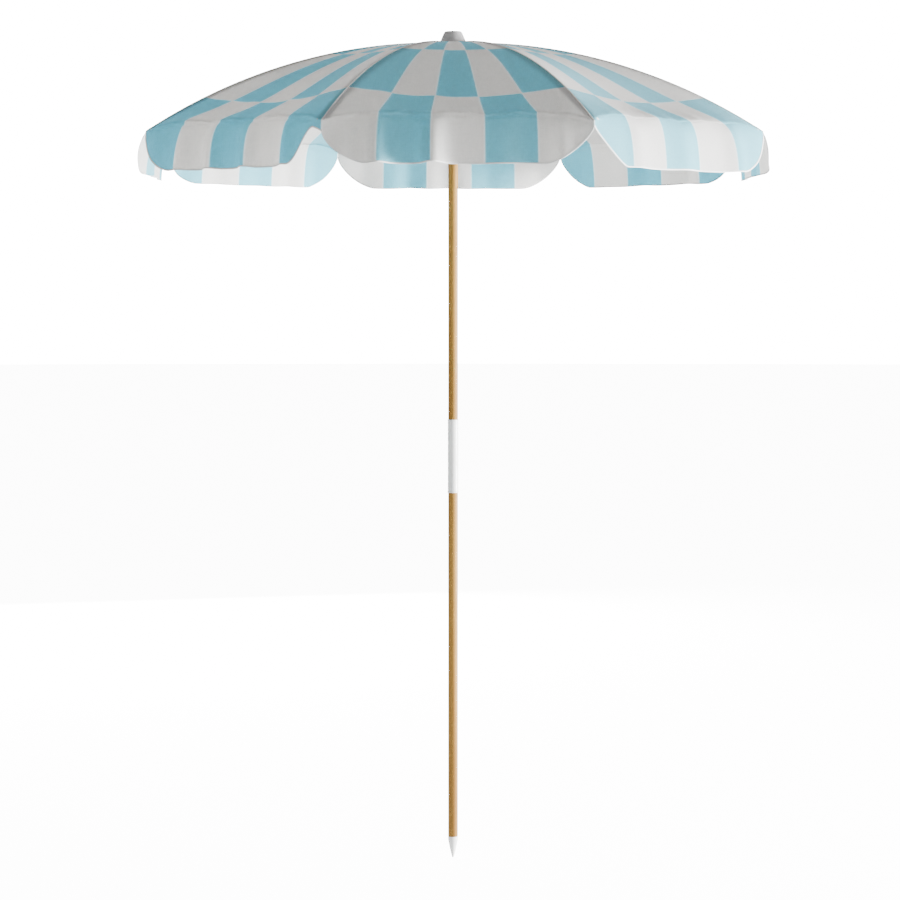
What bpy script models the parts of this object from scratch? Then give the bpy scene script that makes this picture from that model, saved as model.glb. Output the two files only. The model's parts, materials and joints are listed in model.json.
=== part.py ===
"""Beach umbrella: a two-piece timber pole, a sliding runner that spreads eight ribs, and a cloth canopy.

Units are metres, +Z is up and the origin is the blunt end of the ground tip. The umbrella stands open.
Azimuth 0 faces -Y and 90 faces +X. Panel 1 faces azimuth 0, and rib 1 stands between panels 1 and 2.
Pieces that repeat round the pole are modelled once, with x outward, y across and z up.
"""

import math

import bmesh
import bpy
from mathutils import Euler, Matrix, Vector

# Driving dimensions
RIB_COUNT = 8
TOTAL_HEIGHT = 2.350
GAP = 0.0003  # between pieces that touch

POLE_RADIUS = 0.014
POLE_JOINT_Z = 1.150  # where the two halves of the pole meet
POLE_TOP_Z = 2.300

TIP_HEIGHT = 0.060
TIP_END_RADIUS = 0.0025
TIP_COLLAR = 0.006
TIP_SHANK_RADIUS = 0.0065
TIP_SHANK_LENGTH = 0.060

SLEEVE_BOTTOM_Z = 1.046
SLEEVE_TOP_Z = 1.254
SLEEVE_WALL = 0.0008
SCREW_Z = 1.073
SCREW_RADIUS = 0.0016
SCREW_LENGTH = 0.009
SCREW_HEAD_RADIUS = 0.0034
SCREW_HEAD_HEIGHT = 0.0016

CANOPY_TOP_Z = 2.317  # top face of the cloth at the middle
CANOPY_ARC = 1.660  # radius of the arc that the cloth follows along a rib
RIB_REACH = 0.905  # from the pole's axis to the canopy's corners
CLOTH_INNER = 0.0315
CLOTH = 0.0012
SEAM_GAP = 0.0006  # half the gap between two panels
RIM_REACH = 0.880  # reach of the rim half way between two ribs, measured like the ribs' own
RIM_RISE = 0.020  # rise of the rim there, over a straight line between the ribs
RISE_START = 0.45  # share of the ribs' reach where that rise starts
DROOP = 0.030  # how far the cloth droops between two ribs, a little inside the rim

VALANCE_DEPTH = 0.1326
VALANCE_CORNER_DEPTH = 0.012
VALANCE_CORNER = 0.120  # across, where the hem rises to the corner
VALANCE_FLARE = 0.036
VALANCE_GAP = 0.0004  # outward, between a panel's rim and its flap

PIVOT_RADIUS = 0.028  # ring that the ribs hinge on
PIVOT_RISE = 0.0053  # the rib rises this far from the ring to its arc
PIVOT_BLEND = 0.060
RIB_RADIUS = 0.0025
RIB_CLEARANCE = 0.0028  # under the cloth
RIB_START = 0.0305  # reach where the rod leaves its eye
RIB_NECK_END = 0.088  # reach where the rod joins its arc
RIB_END = 0.886
EYE_RADIUS = 0.0031
EYE_THICKNESS = 0.0040
EYE_HOLE_RADIUS = 0.0015
WIRE_RADIUS = 0.0010

CLIP_REACH = 0.450
CLIP_HALF = 0.008
CLIP_DROP = 0.010  # rivet below the rib's middle
CLIP_TOP = 0.0032
CLIP_BOTTOM = 0.0138
CLIP_WIDTH = 0.0080
CLIP_FORK_WIDTH = 0.0036
CLIP_FORK_TOP = 0.0046
RIVET_RADIUS = 0.0011
RIVET_LENGTH = 0.0100
STRETCHER_HALF_WIDTH = 0.0015

RIB_TIP_WALL = 0.0013
RIB_TIP_LENGTH = 0.0120
RIB_TIP_NOSE = 0.0085
RIB_TIP_FLOOR = 0.0010

RUNNER_PIVOT_RADIUS = 0.030
RUNNER_PIVOT_Z = 2.0127

SLOT_WIDTH = 0.0062
SLOT_INNER_RADIUS = 0.0235
GROOVE_HEIGHT = 0.0030

HUB_RADIUS = 0.034
HUB_TOP_Z = 2.3150
HUB_FLANGE_Z = 2.2985
HUB_BOTTOM_Z = 2.270
HUB_NECK_TOP_RADIUS = 0.0205
HUB_NECK_BOTTOM_RADIUS = 0.0180
HUB_NECK_DROP = 0.003
SPIGOT_RADIUS = 0.0050
SPIGOT_BOTTOM_Z = 2.262
PATCH_RADIUS = 0.0345
PATCH_Z = 2.3173
PATCH_THICKNESS = 0.0010
CAP_BASE_RADIUS = 0.0375
CAP_BASE_Z = 2.3188
CAP_TOP_RADIUS = 0.0255
CAP_EDGE = 0.0035
CAP_RIM_HEIGHT = 0.004

RUNNER_BORE_CLEARANCE = 0.0008
RUNNER_RADIUS = 0.0190
RUNNER_GRIP_RADIUS = 0.0215
RUNNER_FLANGE_RADIUS = 0.0360
RUNNER_BOTTOM_Z = 1.985
RUNNER_TOP_Z = 2.036
RUNNER_FLANGE_HALF = 0.008
RUNNER_NECK_DROP = 0.003
RUNNER_GRIP_HEIGHT = 0.003
RUNNER_CHAMFER = 0.0015

CATCH_WIDTH = 0.0030
CATCH_THICKNESS = 0.0012
CATCH_PIVOT = (0.0080, 1.922)  # y and z of the spring's rooted end
CATCH_ROOT = 0.004
CATCH_STEM = 0.020
CATCH_NOSE_Y = 0.0178
CATCH_TAIL_Y = 0.0094
CATCH_TAIL = 0.0090
CATCH_CLEARANCE = 0.0016  # under the runner
CATCH_SLOT_DEPTH_Y = 0.0015
CATCH_SLOT_WIDTH = 0.0042
CATCH_SLOT_BOTTOM_Z = 1.916
CATCH_SLOT_TOP_Z = 2.000

ROUND_STEPS = 24
PANEL_ROWS = 8
VALANCE_ROWS = 4
CLOTH_COLUMNS = 12
HALF_SPAN = math.pi / RIB_COUNT
COS_SPAN = math.cos(HALF_SPAN)
SIN_SPAN = math.sin(HALF_SPAN)
RIB_DROP = CLOTH + RIB_CLEARANCE + RIB_RADIUS

TIMBER = ("timber", (0.55, 0.36, 0.17), 0.55, 0.0)
WHITE_COAT = ("white_coat", (0.86, 0.86, 0.85), 0.40, 0.0)
STEEL = ("steel", (0.60, 0.60, 0.60), 0.35, 1.0)
CREAM_PLASTIC = ("plastic", (0.72, 0.72, 0.70), 0.50, 0.0)
WHITE_CLOTH = ("white_cloth", (0.82, 0.82, 0.81), 0.90, 0.0)
AQUA_CLOTH = ("aqua_cloth", (0.38, 0.69, 0.77), 0.90, 0.0)


def arc_z(reach, inset=0.0):
    """Height of the canopy's arc at this reach along a rib, or of the arc this far inside it."""
    radius = CANOPY_ARC - inset
    return CANOPY_TOP_Z - CANOPY_ARC + math.sqrt(radius * radius - reach * reach)


def rib_z(reach):
    """Height of the rib's centre line: the arc under the cloth, dipping to the crown ring."""
    dip = max(0.0, 1.0 - (reach - PIVOT_RADIUS) / PIVOT_BLEND)
    return arc_z(reach, RIB_DROP) - PIVOT_RISE * dip * dip


def rib_lean(reach):
    """How far the rib leans down from level at this reach, in radians."""
    return math.asin(reach / (CANOPY_ARC - RIB_DROP))


PIVOT_Z = rib_z(PIVOT_RADIUS)
RIVET_X = CLIP_REACH - CLIP_DROP * math.sin(rib_lean(CLIP_REACH))
RIVET_Z = rib_z(CLIP_REACH) - CLIP_DROP * math.cos(rib_lean(CLIP_REACH))
STRETCHER_LENGTH = math.hypot(RIVET_X - RUNNER_PIVOT_RADIUS, RIVET_Z - RUNNER_PIVOT_Z)


def azimuth_turn(degrees):
    """Rotation about Z that takes +X to this azimuth."""
    return math.radians(degrees - 90.0)


def new_collection(name, hidden=False):
    made = bpy.data.collections.new(name)
    bpy.context.scene.collection.children.link(made)
    made.hide_render = hidden
    return made


def new_material(name, look):
    _, colour, roughness, metallic = look
    made = bpy.data.materials.new(name + "_" + look[0])
    made.use_nodes = True
    shader = made.node_tree.nodes["Principled BSDF"]
    shader.inputs["Base Color"].default_value = (*colour, 1.0)
    shader.inputs["Roughness"].default_value = roughness
    shader.inputs["Metallic"].default_value = metallic
    made.diffuse_color = (*colour, 1.0)
    return made


def add_part(name, mesh, look, place=(0.0, 0.0, 0.0), turn=0.0):
    """A named piece whose origin is at place, turned about Z."""
    obj = bpy.data.objects.new(name, mesh)
    obj.location = place
    obj.rotation_euler = Euler((0.0, 0.0, turn))
    PARTS.objects.link(obj)
    if not mesh.materials:
        mesh.materials.append(None)
    obj.material_slots[0].link = "OBJECT"
    obj.material_slots[0].material = new_material(name, look)
    return obj


def add_cutter(name, mesh):
    obj = bpy.data.objects.new(name, mesh)
    obj.hide_render = True
    obj.display_type = "WIRE"
    CUTTERS.objects.link(obj)
    return obj


def mesh_from(name, bm, smooth=True):
    mesh = bpy.data.meshes.new(name)
    bm.to_mesh(mesh)
    bm.free()
    if smooth:
        mesh.shade_smooth()
        mesh.set_sharp_from_angle(angle=math.radians(35))
    return mesh


def profile_mesh(name, outline, ring):
    """A turned piece's outline as loose edges, top first; a ring's outline closes on itself."""
    bm = bmesh.new()
    points = [bm.verts.new((radius, 0.0, height)) for radius, height in outline]
    for first, second in zip(points, points[1:]):
        bm.edges.new((first, second))
    if ring:
        bm.edges.new((points[-1], points[0]))
    return mesh_from(name, bm, smooth=False)


def add_screw(obj, steps=ROUND_STEPS):
    screw = obj.modifiers.new("turned", "SCREW")
    screw.steps = steps
    screw.render_steps = steps
    screw.use_merge_vertices = True
    screw.merge_threshold = 0.00001
    screw.use_smooth_shade = True
    return obj


def turned(name, outline, look, place=(0.0, 0.0, 0.0), ring=False, steps=ROUND_STEPS):
    """A turned piece with its axis on Z. The outline holds (radius, height) pairs in world heights."""
    local = [(radius, height - place[2]) for radius, height in outline]
    obj = add_part(name, profile_mesh(name, local, ring), look, place)
    return add_screw(obj, steps)


def cut(obj, cutter, label, operation="DIFFERENCE"):
    boolean = obj.modifiers.new(label, "BOOLEAN")
    boolean.operation = operation
    boolean.object = cutter
    boolean.solver = "EXACT"


def add_cylinder(bm, radius, length, matrix, sides=12):
    bmesh.ops.create_cone(
        bm, cap_ends=True, segments=sides, radius1=radius, radius2=radius, depth=length, matrix=matrix
    )


def add_box(bm, low, high, matrix=None):
    size = [b - a for a, b in zip(low, high)]
    middle = [(a + b) / 2 for a, b in zip(low, high)]
    place = Matrix.Translation(middle) @ Matrix.Diagonal((*size, 1.0))
    bmesh.ops.create_cube(bm, size=1.0, matrix=(matrix or Matrix()) @ place)


def across(x, y, z):
    """A matrix that stands a cylinder across the rib's plane, with its middle at this point."""
    return Matrix.Translation((x, y, z)) @ Matrix.Rotation(math.radians(90), 4, "X")


def evaluated_mesh(obj, name):
    """The object's mesh with its modifiers applied, its loose caps welded."""
    graph = bpy.context.evaluated_depsgraph_get()
    mesh = bpy.data.meshes.new_from_object(obj.evaluated_get(graph))
    mesh.name = name
    bm = bmesh.new()
    bm.from_mesh(mesh)
    bmesh.ops.remove_doubles(bm, verts=bm.verts, dist=0.00001)
    bm.to_mesh(mesh)
    bm.free()
    return mesh


def radial_slots(name, bottom, top):
    """Eight upright slots from the inner radius outward, one at each rib."""
    bm = bmesh.new()
    for k in range(RIB_COUNT):
        turn = Matrix.Rotation(azimuth_turn((k + 0.5) * 360 / RIB_COUNT), 4, "Z")
        low = (SLOT_INNER_RADIUS, -SLOT_WIDTH / 2, bottom)
        high = (RUNNER_FLANGE_RADIUS + 0.01, SLOT_WIDTH / 2, top)
        add_box(bm, low, high, turn)
    return add_cutter(name, mesh_from(name, bm, smooth=False))


def cross_hole(name, radius, length, y, z):
    """A cutter that drills along Y."""
    bm = bmesh.new()
    add_cylinder(bm, radius, length, across(0.0, y, z))
    return add_cutter(name, mesh_from(name, bm))


# Pole
def build_ground_tip():
    shank_top = TIP_HEIGHT + TIP_SHANK_LENGTH
    outline = [
        (0.0, shank_top),
        (TIP_SHANK_RADIUS, shank_top),
        (TIP_SHANK_RADIUS, TIP_HEIGHT),
        (POLE_RADIUS, TIP_HEIGHT),
        (POLE_RADIUS, TIP_HEIGHT - TIP_COLLAR),
        (0.6 * POLE_RADIUS, 0.4 * TIP_HEIGHT),
        (TIP_END_RADIUS, 0.0),
        (0.0, 0.0),
    ]
    turned("ground_tip", outline, WHITE_COAT)


def build_lower_pole():
    bottom = TIP_HEIGHT + GAP
    hole_top = TIP_HEIGHT + TIP_SHANK_LENGTH + 0.002
    outline = [
        (0.0, POLE_JOINT_Z),
        (POLE_RADIUS, POLE_JOINT_Z),
        (POLE_RADIUS, bottom),
        (TIP_SHANK_RADIUS + GAP, bottom),
        (TIP_SHANK_RADIUS + GAP, hole_top),
        (0.0, hole_top),
    ]
    pole = turned("lower_pole", outline, TIMBER)
    cut(pole, cross_hole("screw_pilot", SCREW_RADIUS + GAP, 0.016, POLE_RADIUS, SCREW_Z), "pilot")


def build_joiner_sleeve():
    inner = POLE_RADIUS + GAP
    outer = inner + SLEEVE_WALL
    outline = [
        (outer, SLEEVE_TOP_Z),
        (outer, SLEEVE_BOTTOM_Z),
        (inner, SLEEVE_BOTTOM_Z),
        (inner, SLEEVE_TOP_Z),
    ]
    sleeve = turned("joiner_sleeve", outline, WHITE_COAT, ring=True)
    cut(sleeve, cross_hole("screw_hole", SCREW_RADIUS + GAP, 0.006, POLE_RADIUS, SCREW_Z), "hole")


def build_sleeve_screw():
    """A pan-head screw from the back, through the sleeve into the lower pole."""
    seat = POLE_RADIUS + GAP + SLEEVE_WALL + GAP
    outline = [
        (0.0, SCREW_HEAD_HEIGHT),
        (0.6 * SCREW_HEAD_RADIUS, 0.9 * SCREW_HEAD_HEIGHT),
        (SCREW_HEAD_RADIUS, 0.4 * SCREW_HEAD_HEIGHT),
        (SCREW_HEAD_RADIUS, 0.0),
        (SCREW_RADIUS, 0.0),
        (SCREW_RADIUS, -0.8 * SCREW_LENGTH),
        (0.0, -SCREW_LENGTH),
    ]
    screw = add_part("sleeve_screw", profile_mesh("sleeve_screw", outline, ring=False), STEEL)
    add_screw(screw, steps=12)
    screw.location = (0.0, seat, SCREW_Z)
    screw.rotation_euler = Euler((math.radians(-90), 0.0, 0.0))


def build_upper_pole():
    hole_bottom = SPIGOT_BOTTOM_Z - 0.002
    outline = [
        (0.0, hole_bottom),
        (SPIGOT_RADIUS + GAP, hole_bottom),
        (SPIGOT_RADIUS + GAP, POLE_TOP_Z),
        (POLE_RADIUS, POLE_TOP_Z),
        (POLE_RADIUS, POLE_JOINT_Z + GAP),
        (0.0, POLE_JOINT_Z + GAP),
    ]
    pole = turned("upper_pole", outline, TIMBER, place=(0.0, 0.0, POLE_JOINT_Z + GAP))
    bm = bmesh.new()
    low = (-CATCH_SLOT_WIDTH / 2, CATCH_SLOT_DEPTH_Y, CATCH_SLOT_BOTTOM_Z)
    high = (CATCH_SLOT_WIDTH / 2, POLE_RADIUS + 0.002, CATCH_SLOT_TOP_Z)
    add_box(bm, low, high)
    cut(pole, add_cutter("catch_slot", mesh_from("catch_slot", bm, smooth=False)), "slot")


def build_catch_spring():
    """A flat strip rooted in the pole's slot, bent out below the runner: (y, z) along its middle."""
    y0, z0 = CATCH_PIVOT
    catch_top = RUNNER_BOTTOM_Z - CATCH_CLEARANCE
    middle = [
        (y0, z0 - CATCH_ROOT),
        (y0, z0 + CATCH_STEM),
        (CATCH_NOSE_Y, catch_top - 0.0040),
        (CATCH_NOSE_Y, catch_top - 0.0008),
        (CATCH_TAIL_Y, catch_top + 0.0008),
        (CATCH_TAIL_Y, catch_top + CATCH_TAIL),
    ]
    half = CATCH_THICKNESS / 2
    sides = {1: [], -1: []}
    for index, point in enumerate(middle):
        before = Vector(middle[max(index - 1, 0)])
        after = Vector(middle[min(index + 1, len(middle) - 1)])
        here = Vector(point)
        first = (here - before).normalized() if index else (after - here).normalized()
        second = (after - here).normalized() if index < len(middle) - 1 else first
        bend = (first + second).normalized()
        reach = half / max(bend.dot(first), 0.5)
        normal = Vector((bend.y, -bend.x)) * reach
        sides[1].append(here + normal)
        sides[-1].append(here - normal)
    bm = bmesh.new()
    outline = sides[1] + sides[-1][::-1]
    corners = [bm.verts.new((-CATCH_WIDTH / 2, p.x - y0, p.y - z0)) for p in outline]
    face = bm.faces.new(corners)
    grown = bmesh.ops.extrude_face_region(bm, geom=[face])["geom"]
    moved = [v for v in grown if isinstance(v, bmesh.types.BMVert)]
    bmesh.ops.translate(bm, verts=moved, vec=(CATCH_WIDTH, 0.0, 0.0))
    bmesh.ops.recalc_face_normals(bm, faces=bm.faces)
    add_part("catch_spring", mesh_from("catch_spring", bm, smooth=False), STEEL, (0.0, y0, z0))


# Crown
def build_crown_hub():
    """The crown that the ribs hinge on: a socket on the pole's end with a grooved, slotted flange."""
    bore = POLE_RADIUS + GAP
    low, high = PIVOT_Z - GROOVE_HEIGHT / 2, PIVOT_Z + GROOVE_HEIGHT / 2
    groove = PIVOT_RADIUS - WIRE_RADIUS - GAP
    hole = SPIGOT_RADIUS + GAP
    outline = [
        (hole, HUB_TOP_Z),
        (HUB_RADIUS, HUB_TOP_Z),
        (HUB_RADIUS, high),
        (groove, high),
        (groove, low),
        (HUB_RADIUS, low),
        (HUB_RADIUS, HUB_FLANGE_Z),
        (HUB_NECK_TOP_RADIUS, HUB_FLANGE_Z - HUB_NECK_DROP),
        (HUB_NECK_BOTTOM_RADIUS, HUB_BOTTOM_Z),
        (bore, HUB_BOTTOM_Z),
        (bore, POLE_TOP_Z + GAP),
        (hole, POLE_TOP_Z + GAP),
    ]
    hub = turned("crown_hub", outline, CREAM_PLASTIC, ring=True, steps=32)
    cut(hub, radial_slots("crown_slots", HUB_FLANGE_Z - 0.005, HUB_TOP_Z + 0.005), "slots")


def build_wire(name, radius, height):
    """A wire ring with a corner of its outline at every rib."""
    bpy.ops.mesh.primitive_torus_add(
        major_segments=4 * RIB_COUNT, minor_segments=6, major_radius=radius, minor_radius=WIRE_RADIUS
    )
    torus = bpy.context.object
    mesh = torus.data
    bpy.data.objects.remove(torus)
    mesh.shade_smooth()
    add_part(name, mesh, STEEL, (0.0, 0.0, height))


def build_crown_patch():
    outline = [
        (PATCH_RADIUS, PATCH_Z + PATCH_THICKNESS),
        (PATCH_RADIUS, PATCH_Z),
        (SPIGOT_RADIUS + GAP, PATCH_Z),
        (SPIGOT_RADIUS + GAP, PATCH_Z + PATCH_THICKNESS),
    ]
    turned("crown_patch", outline, WHITE_CLOTH, ring=True)


def build_crown_cap():
    """The finial: a flat-topped cone over the cloth, with a spigot down into the pole."""
    outline = [
        (0.0, TOTAL_HEIGHT),
        (CAP_TOP_RADIUS - CAP_EDGE, TOTAL_HEIGHT),
        (CAP_TOP_RADIUS - 0.3 * CAP_EDGE, TOTAL_HEIGHT - 0.3 * CAP_EDGE),
        (CAP_TOP_RADIUS, TOTAL_HEIGHT - CAP_EDGE),
        (CAP_BASE_RADIUS, CAP_BASE_Z + CAP_RIM_HEIGHT),
        (CAP_BASE_RADIUS, CAP_BASE_Z),
        (SPIGOT_RADIUS, CAP_BASE_Z),
        (SPIGOT_RADIUS, SPIGOT_BOTTOM_Z),
        (0.0, SPIGOT_BOTTOM_Z),
    ]
    turned("crown_cap", outline, CREAM_PLASTIC, steps=32)


# Runner
def build_runner():
    """The sliding runner: a grip below, and a grooved, slotted flange that the stretchers hinge on."""
    bore = POLE_RADIUS + RUNNER_BORE_CLEARANCE
    low, high = RUNNER_PIVOT_Z - GROOVE_HEIGHT / 2, RUNNER_PIVOT_Z + GROOVE_HEIGHT / 2
    flange_low, flange_high = RUNNER_PIVOT_Z - RUNNER_FLANGE_HALF, RUNNER_PIVOT_Z + RUNNER_FLANGE_HALF
    groove = RUNNER_PIVOT_RADIUS - WIRE_RADIUS - GAP
    outline = [
        (RUNNER_RADIUS - RUNNER_CHAMFER, RUNNER_TOP_Z),
        (RUNNER_RADIUS, RUNNER_TOP_Z - RUNNER_CHAMFER),
        (RUNNER_RADIUS, flange_high),
        (RUNNER_FLANGE_RADIUS, flange_high),
        (RUNNER_FLANGE_RADIUS, high),
        (groove, high),
        (groove, low),
        (RUNNER_FLANGE_RADIUS, low),
        (RUNNER_FLANGE_RADIUS, flange_low),
        (RUNNER_RADIUS, flange_low - RUNNER_NECK_DROP),
        (RUNNER_RADIUS, RUNNER_BOTTOM_Z + 2 * RUNNER_GRIP_HEIGHT),
        (RUNNER_GRIP_RADIUS, RUNNER_BOTTOM_Z + RUNNER_GRIP_HEIGHT),
        (RUNNER_GRIP_RADIUS, RUNNER_BOTTOM_Z),
        (bore, RUNNER_BOTTOM_Z),
        (bore, RUNNER_TOP_Z),
    ]
    place = (0.0, 0.0, RUNNER_PIVOT_Z)
    runner = turned("runner", outline, CREAM_PLASTIC, place=place, ring=True, steps=32)
    cut(runner, radial_slots("runner_slots", flange_low - 0.005, flange_high + 0.005), "slots")


# Ribs, in a frame whose origin is the rib's hinge
def spread(first, last, steps):
    return [first + (last - first) * k / steps for k in range(steps + 1)]


def rib_mesh():
    """A round rod along the arc with a flat eye at the crown ring."""
    reaches = spread(RIB_START, RIB_NECK_END, 3)[:-1]
    reaches += spread(RIB_NECK_END, CLIP_REACH - CLIP_HALF, 4)
    reaches += spread(CLIP_REACH + CLIP_HALF, RIB_END - 0.020, 5)
    reaches.append(RIB_END)
    curve = bpy.data.curves.new("rib_line", "CURVE")
    curve.dimensions = "3D"
    curve.bevel_depth = RIB_RADIUS
    curve.bevel_resolution = 1
    curve.use_fill_caps = True
    spline = curve.splines.new("POLY")
    spline.points.add(len(reaches) - 1)
    for point, reach in zip(spline.points, reaches):
        point.co = (reach - PIVOT_RADIUS, 0.0, rib_z(reach) - PIVOT_Z, 1.0)
    line = bpy.data.objects.new("rib_line", curve)
    CUTTERS.objects.link(line)
    rod = add_cutter("rib_rod", evaluated_mesh(line, "rib_rod"))
    bpy.data.objects.remove(line)
    bm = bmesh.new()
    add_cylinder(bm, EYE_RADIUS, EYE_THICKNESS, across(0.0, 0.0, 0.0), sides=16)
    eye = add_cutter("rib_eye", mesh_from("rib_eye", bm))
    bm = bmesh.new()
    add_cylinder(bm, EYE_HOLE_RADIUS, 2 * EYE_THICKNESS, across(0.0, 0.0, 0.0), sides=10)
    hole = add_cutter("rib_eye_hole", mesh_from("rib_eye_hole", bm))
    cut(rod, eye, "eye", "UNION")
    cut(rod, hole, "hole")
    made = evaluated_mesh(rod, "rib")
    made.shade_smooth()
    made.set_sharp_from_angle(angle=math.radians(50))
    return made


def along_rib(reach):
    """A matrix at this reach on the rib's middle: local Z runs along the rib and local X down from it."""
    place = Matrix.Translation((reach - PIVOT_RADIUS, 0.0, rib_z(reach) - PIVOT_Z))
    return place @ Matrix.Rotation(math.radians(90) + rib_lean(reach), 4, "Y")


def rib_tip_mesh():
    """A rounded cap over the rib's end, with a blind hole for it."""
    outer, inner = RIB_RADIUS + RIB_TIP_WALL, RIB_RADIUS + GAP
    outline = [
        (0.0, RIB_TIP_NOSE),
        (0.6 * outer, 0.85 * RIB_TIP_NOSE),
        (outer, 0.53 * RIB_TIP_NOSE),
        (outer, -RIB_TIP_LENGTH),
        (inner, -RIB_TIP_LENGTH),
        (inner, RIB_TIP_FLOOR),
        (0.0, RIB_TIP_FLOOR),
    ]
    shape = add_cutter("rib_tip_shape", profile_mesh("rib_tip_shape", outline, ring=False))
    add_screw(shape, steps=12)
    made = evaluated_mesh(shape, "rib_tip")
    made.transform(along_rib(RIB_END))
    made.shade_smooth()
    made.set_sharp_from_angle(angle=math.radians(40))
    return made


def rib_clip_mesh():
    """A saddle on the rib with a fork below it and a rivet across the fork."""
    bm = bmesh.new()
    half = CLIP_WIDTH / 2
    end = 0.75 * CLIP_HALF
    add_box(bm, (-CLIP_TOP, -half, -end), (CLIP_BOTTOM, half, end))
    body = add_cutter("clip_body", mesh_from("clip_body", bm, smooth=False))
    bm = bmesh.new()
    add_cylinder(bm, RIB_RADIUS + GAP, 4 * CLIP_HALF, Matrix(), sides=12)
    bore = add_cutter("clip_bore", mesh_from("clip_bore", bm))
    bm = bmesh.new()
    fork_half = CLIP_FORK_WIDTH / 2
    add_box(bm, (CLIP_FORK_TOP, -fork_half, -CLIP_HALF), (2 * CLIP_BOTTOM, fork_half, CLIP_HALF))
    fork = add_cutter("clip_fork", mesh_from("clip_fork", bm, smooth=False))
    bm = bmesh.new()
    add_cylinder(bm, RIVET_RADIUS, RIVET_LENGTH, across(CLIP_DROP, 0.0, 0.0), sides=10)
    rivet = add_cutter("clip_rivet", mesh_from("clip_rivet", bm))
    cut(body, bore, "bore")
    cut(body, fork, "fork")
    cut(body, rivet, "rivet", "UNION")
    made = evaluated_mesh(body, "rib_clip")
    made.transform(along_rib(CLIP_REACH))
    return made


# Stretchers, in a frame whose origin is the clip's rivet
def stretcher_mesh():
    """A flat bar with round ends and an eye in each, leaning down to the runner."""
    run = RUNNER_PIVOT_RADIUS - RIVET_X
    fall = RUNNER_PIVOT_Z - RIVET_Z
    angle = math.atan2(fall, run)
    curve = bpy.data.curves.new("stretcher_outline", "CURVE")
    curve.dimensions = "2D"
    curve.fill_mode = "BOTH"
    curve.extrude = STRETCHER_HALF_WIDTH
    end = STRETCHER_LENGTH
    bar = [round_point(0.0, EYE_RADIUS, 90 + 22.5 * k) for k in range(9)]
    bar += [round_point(end, EYE_RADIUS, -90 + 22.5 * k) for k in range(9)]
    holes = [[round_point(x, EYE_HOLE_RADIUS, 36 * k) for k in range(10)] for x in (0.0, end)]
    for loop in [bar, *holes]:
        spline = curve.splines.new("POLY")
        spline.points.add(len(loop) - 1)
        spline.use_cyclic_u = True
        for point, (x, y) in zip(spline.points, loop):
            point.co = (x, y, 0.0, 1.0)
    flat = bpy.data.objects.new("stretcher_outline", curve)
    CUTTERS.objects.link(flat)
    made = evaluated_mesh(flat, "stretcher")
    bpy.data.objects.remove(flat)
    upright = Matrix.Rotation(math.radians(90), 4, "X")
    made.transform(Matrix.Rotation(-angle, 4, "Y") @ upright)
    return made


def round_point(x, radius, degrees):
    return x + radius * math.cos(math.radians(degrees)), radius * math.sin(math.radians(degrees))


# Canopy
def cloth_point(reach, side):
    """A point of the panel's top face, from -1 at one rib to 1 at the next.

    Between the ribs it droops more and more outward, then rises again to the rim.
    """
    half = reach * SIN_SPAN - SEAM_GAP
    share = (reach - CLOTH_INNER) / (RIB_REACH - CLOTH_INNER)
    rise = max(0.0, (reach / RIB_REACH - RISE_START) / (1.0 - RISE_START))
    bend = RIM_RISE * rise**4 - DROOP * math.sin(math.pi * share**3)
    return Vector((reach * COS_SPAN, side * half, arc_z(reach) + bend * (1.0 - side * side)))


def rim_reach(side):
    """Reach of a panel's rim: less between the ribs than at them."""
    return RIM_REACH + (RIB_REACH - RIM_REACH) * side**4


PANEL_PIVOT = Vector((PIVOT_RADIUS * COS_SPAN, 0.0, PIVOT_Z))
CREASE = cloth_point(RIM_REACH, 0.0)


def grid_mesh(name, columns, rows, place):
    """A sheet of columns by rows whose points are place(u, v), with u and v from 0 to 1."""
    bm = bmesh.new()
    bmesh.ops.create_grid(bm, x_segments=columns, y_segments=rows, size=0.5)
    for vert in bm.verts:
        vert.co = place(vert.co.x + 0.5, vert.co.y + 0.5)
    return mesh_from(name, bm)


def side_at(v):
    """Where a grid's column stands between two ribs, with the columns closer near the ribs."""
    return math.sin(math.pi * (v - 0.5))


def panel_mesh():
    def place(u, v):
        side = side_at(v)
        reach = CLOTH_INNER + (rim_reach(side) - CLOTH_INNER) * u
        return cloth_point(reach, side) - PANEL_PIVOT

    return grid_mesh("panel", PANEL_ROWS, CLOTH_COLUMNS, place)


def hem_depth(top):
    """Depth of the flap below this point of the crease: a level hem, then a quarter ellipse to the corner."""
    half = RIB_REACH * SIN_SPAN
    rise = max(0.0, (abs(top.y) - half + VALANCE_CORNER) / VALANCE_CORNER)
    corner = math.sqrt(max(0.0, 1.0 - rise * rise))
    full = top.z - CREASE.z + VALANCE_DEPTH
    return VALANCE_CORNER_DEPTH + (full - VALANCE_CORNER_DEPTH) * corner


def valance_mesh():
    def place(u, v):
        side = side_at(v)
        top = cloth_point(rim_reach(side), side)
        down = hem_depth(top) * u + CLOTH
        share = down / (VALANCE_DEPTH + CLOTH)
        out = VALANCE_FLARE * (2 * share - share * share)
        return top + Vector((out + VALANCE_GAP, 0.0, -down)) - CREASE

    return grid_mesh("valance", VALANCE_ROWS, CLOTH_COLUMNS, place)


def add_cloth(name, mesh, look, place, turn):
    obj = add_part(name, mesh, look, place, turn)
    solid = obj.modifiers.new("cloth", "SOLIDIFY")
    solid.thickness = CLOTH
    solid.offset = -1.0
    return obj


def placed(point, degrees):
    """World place of a point given in the frame that faces this azimuth."""
    return Matrix.Rotation(azimuth_turn(degrees), 4, "Z") @ Vector(point)


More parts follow.
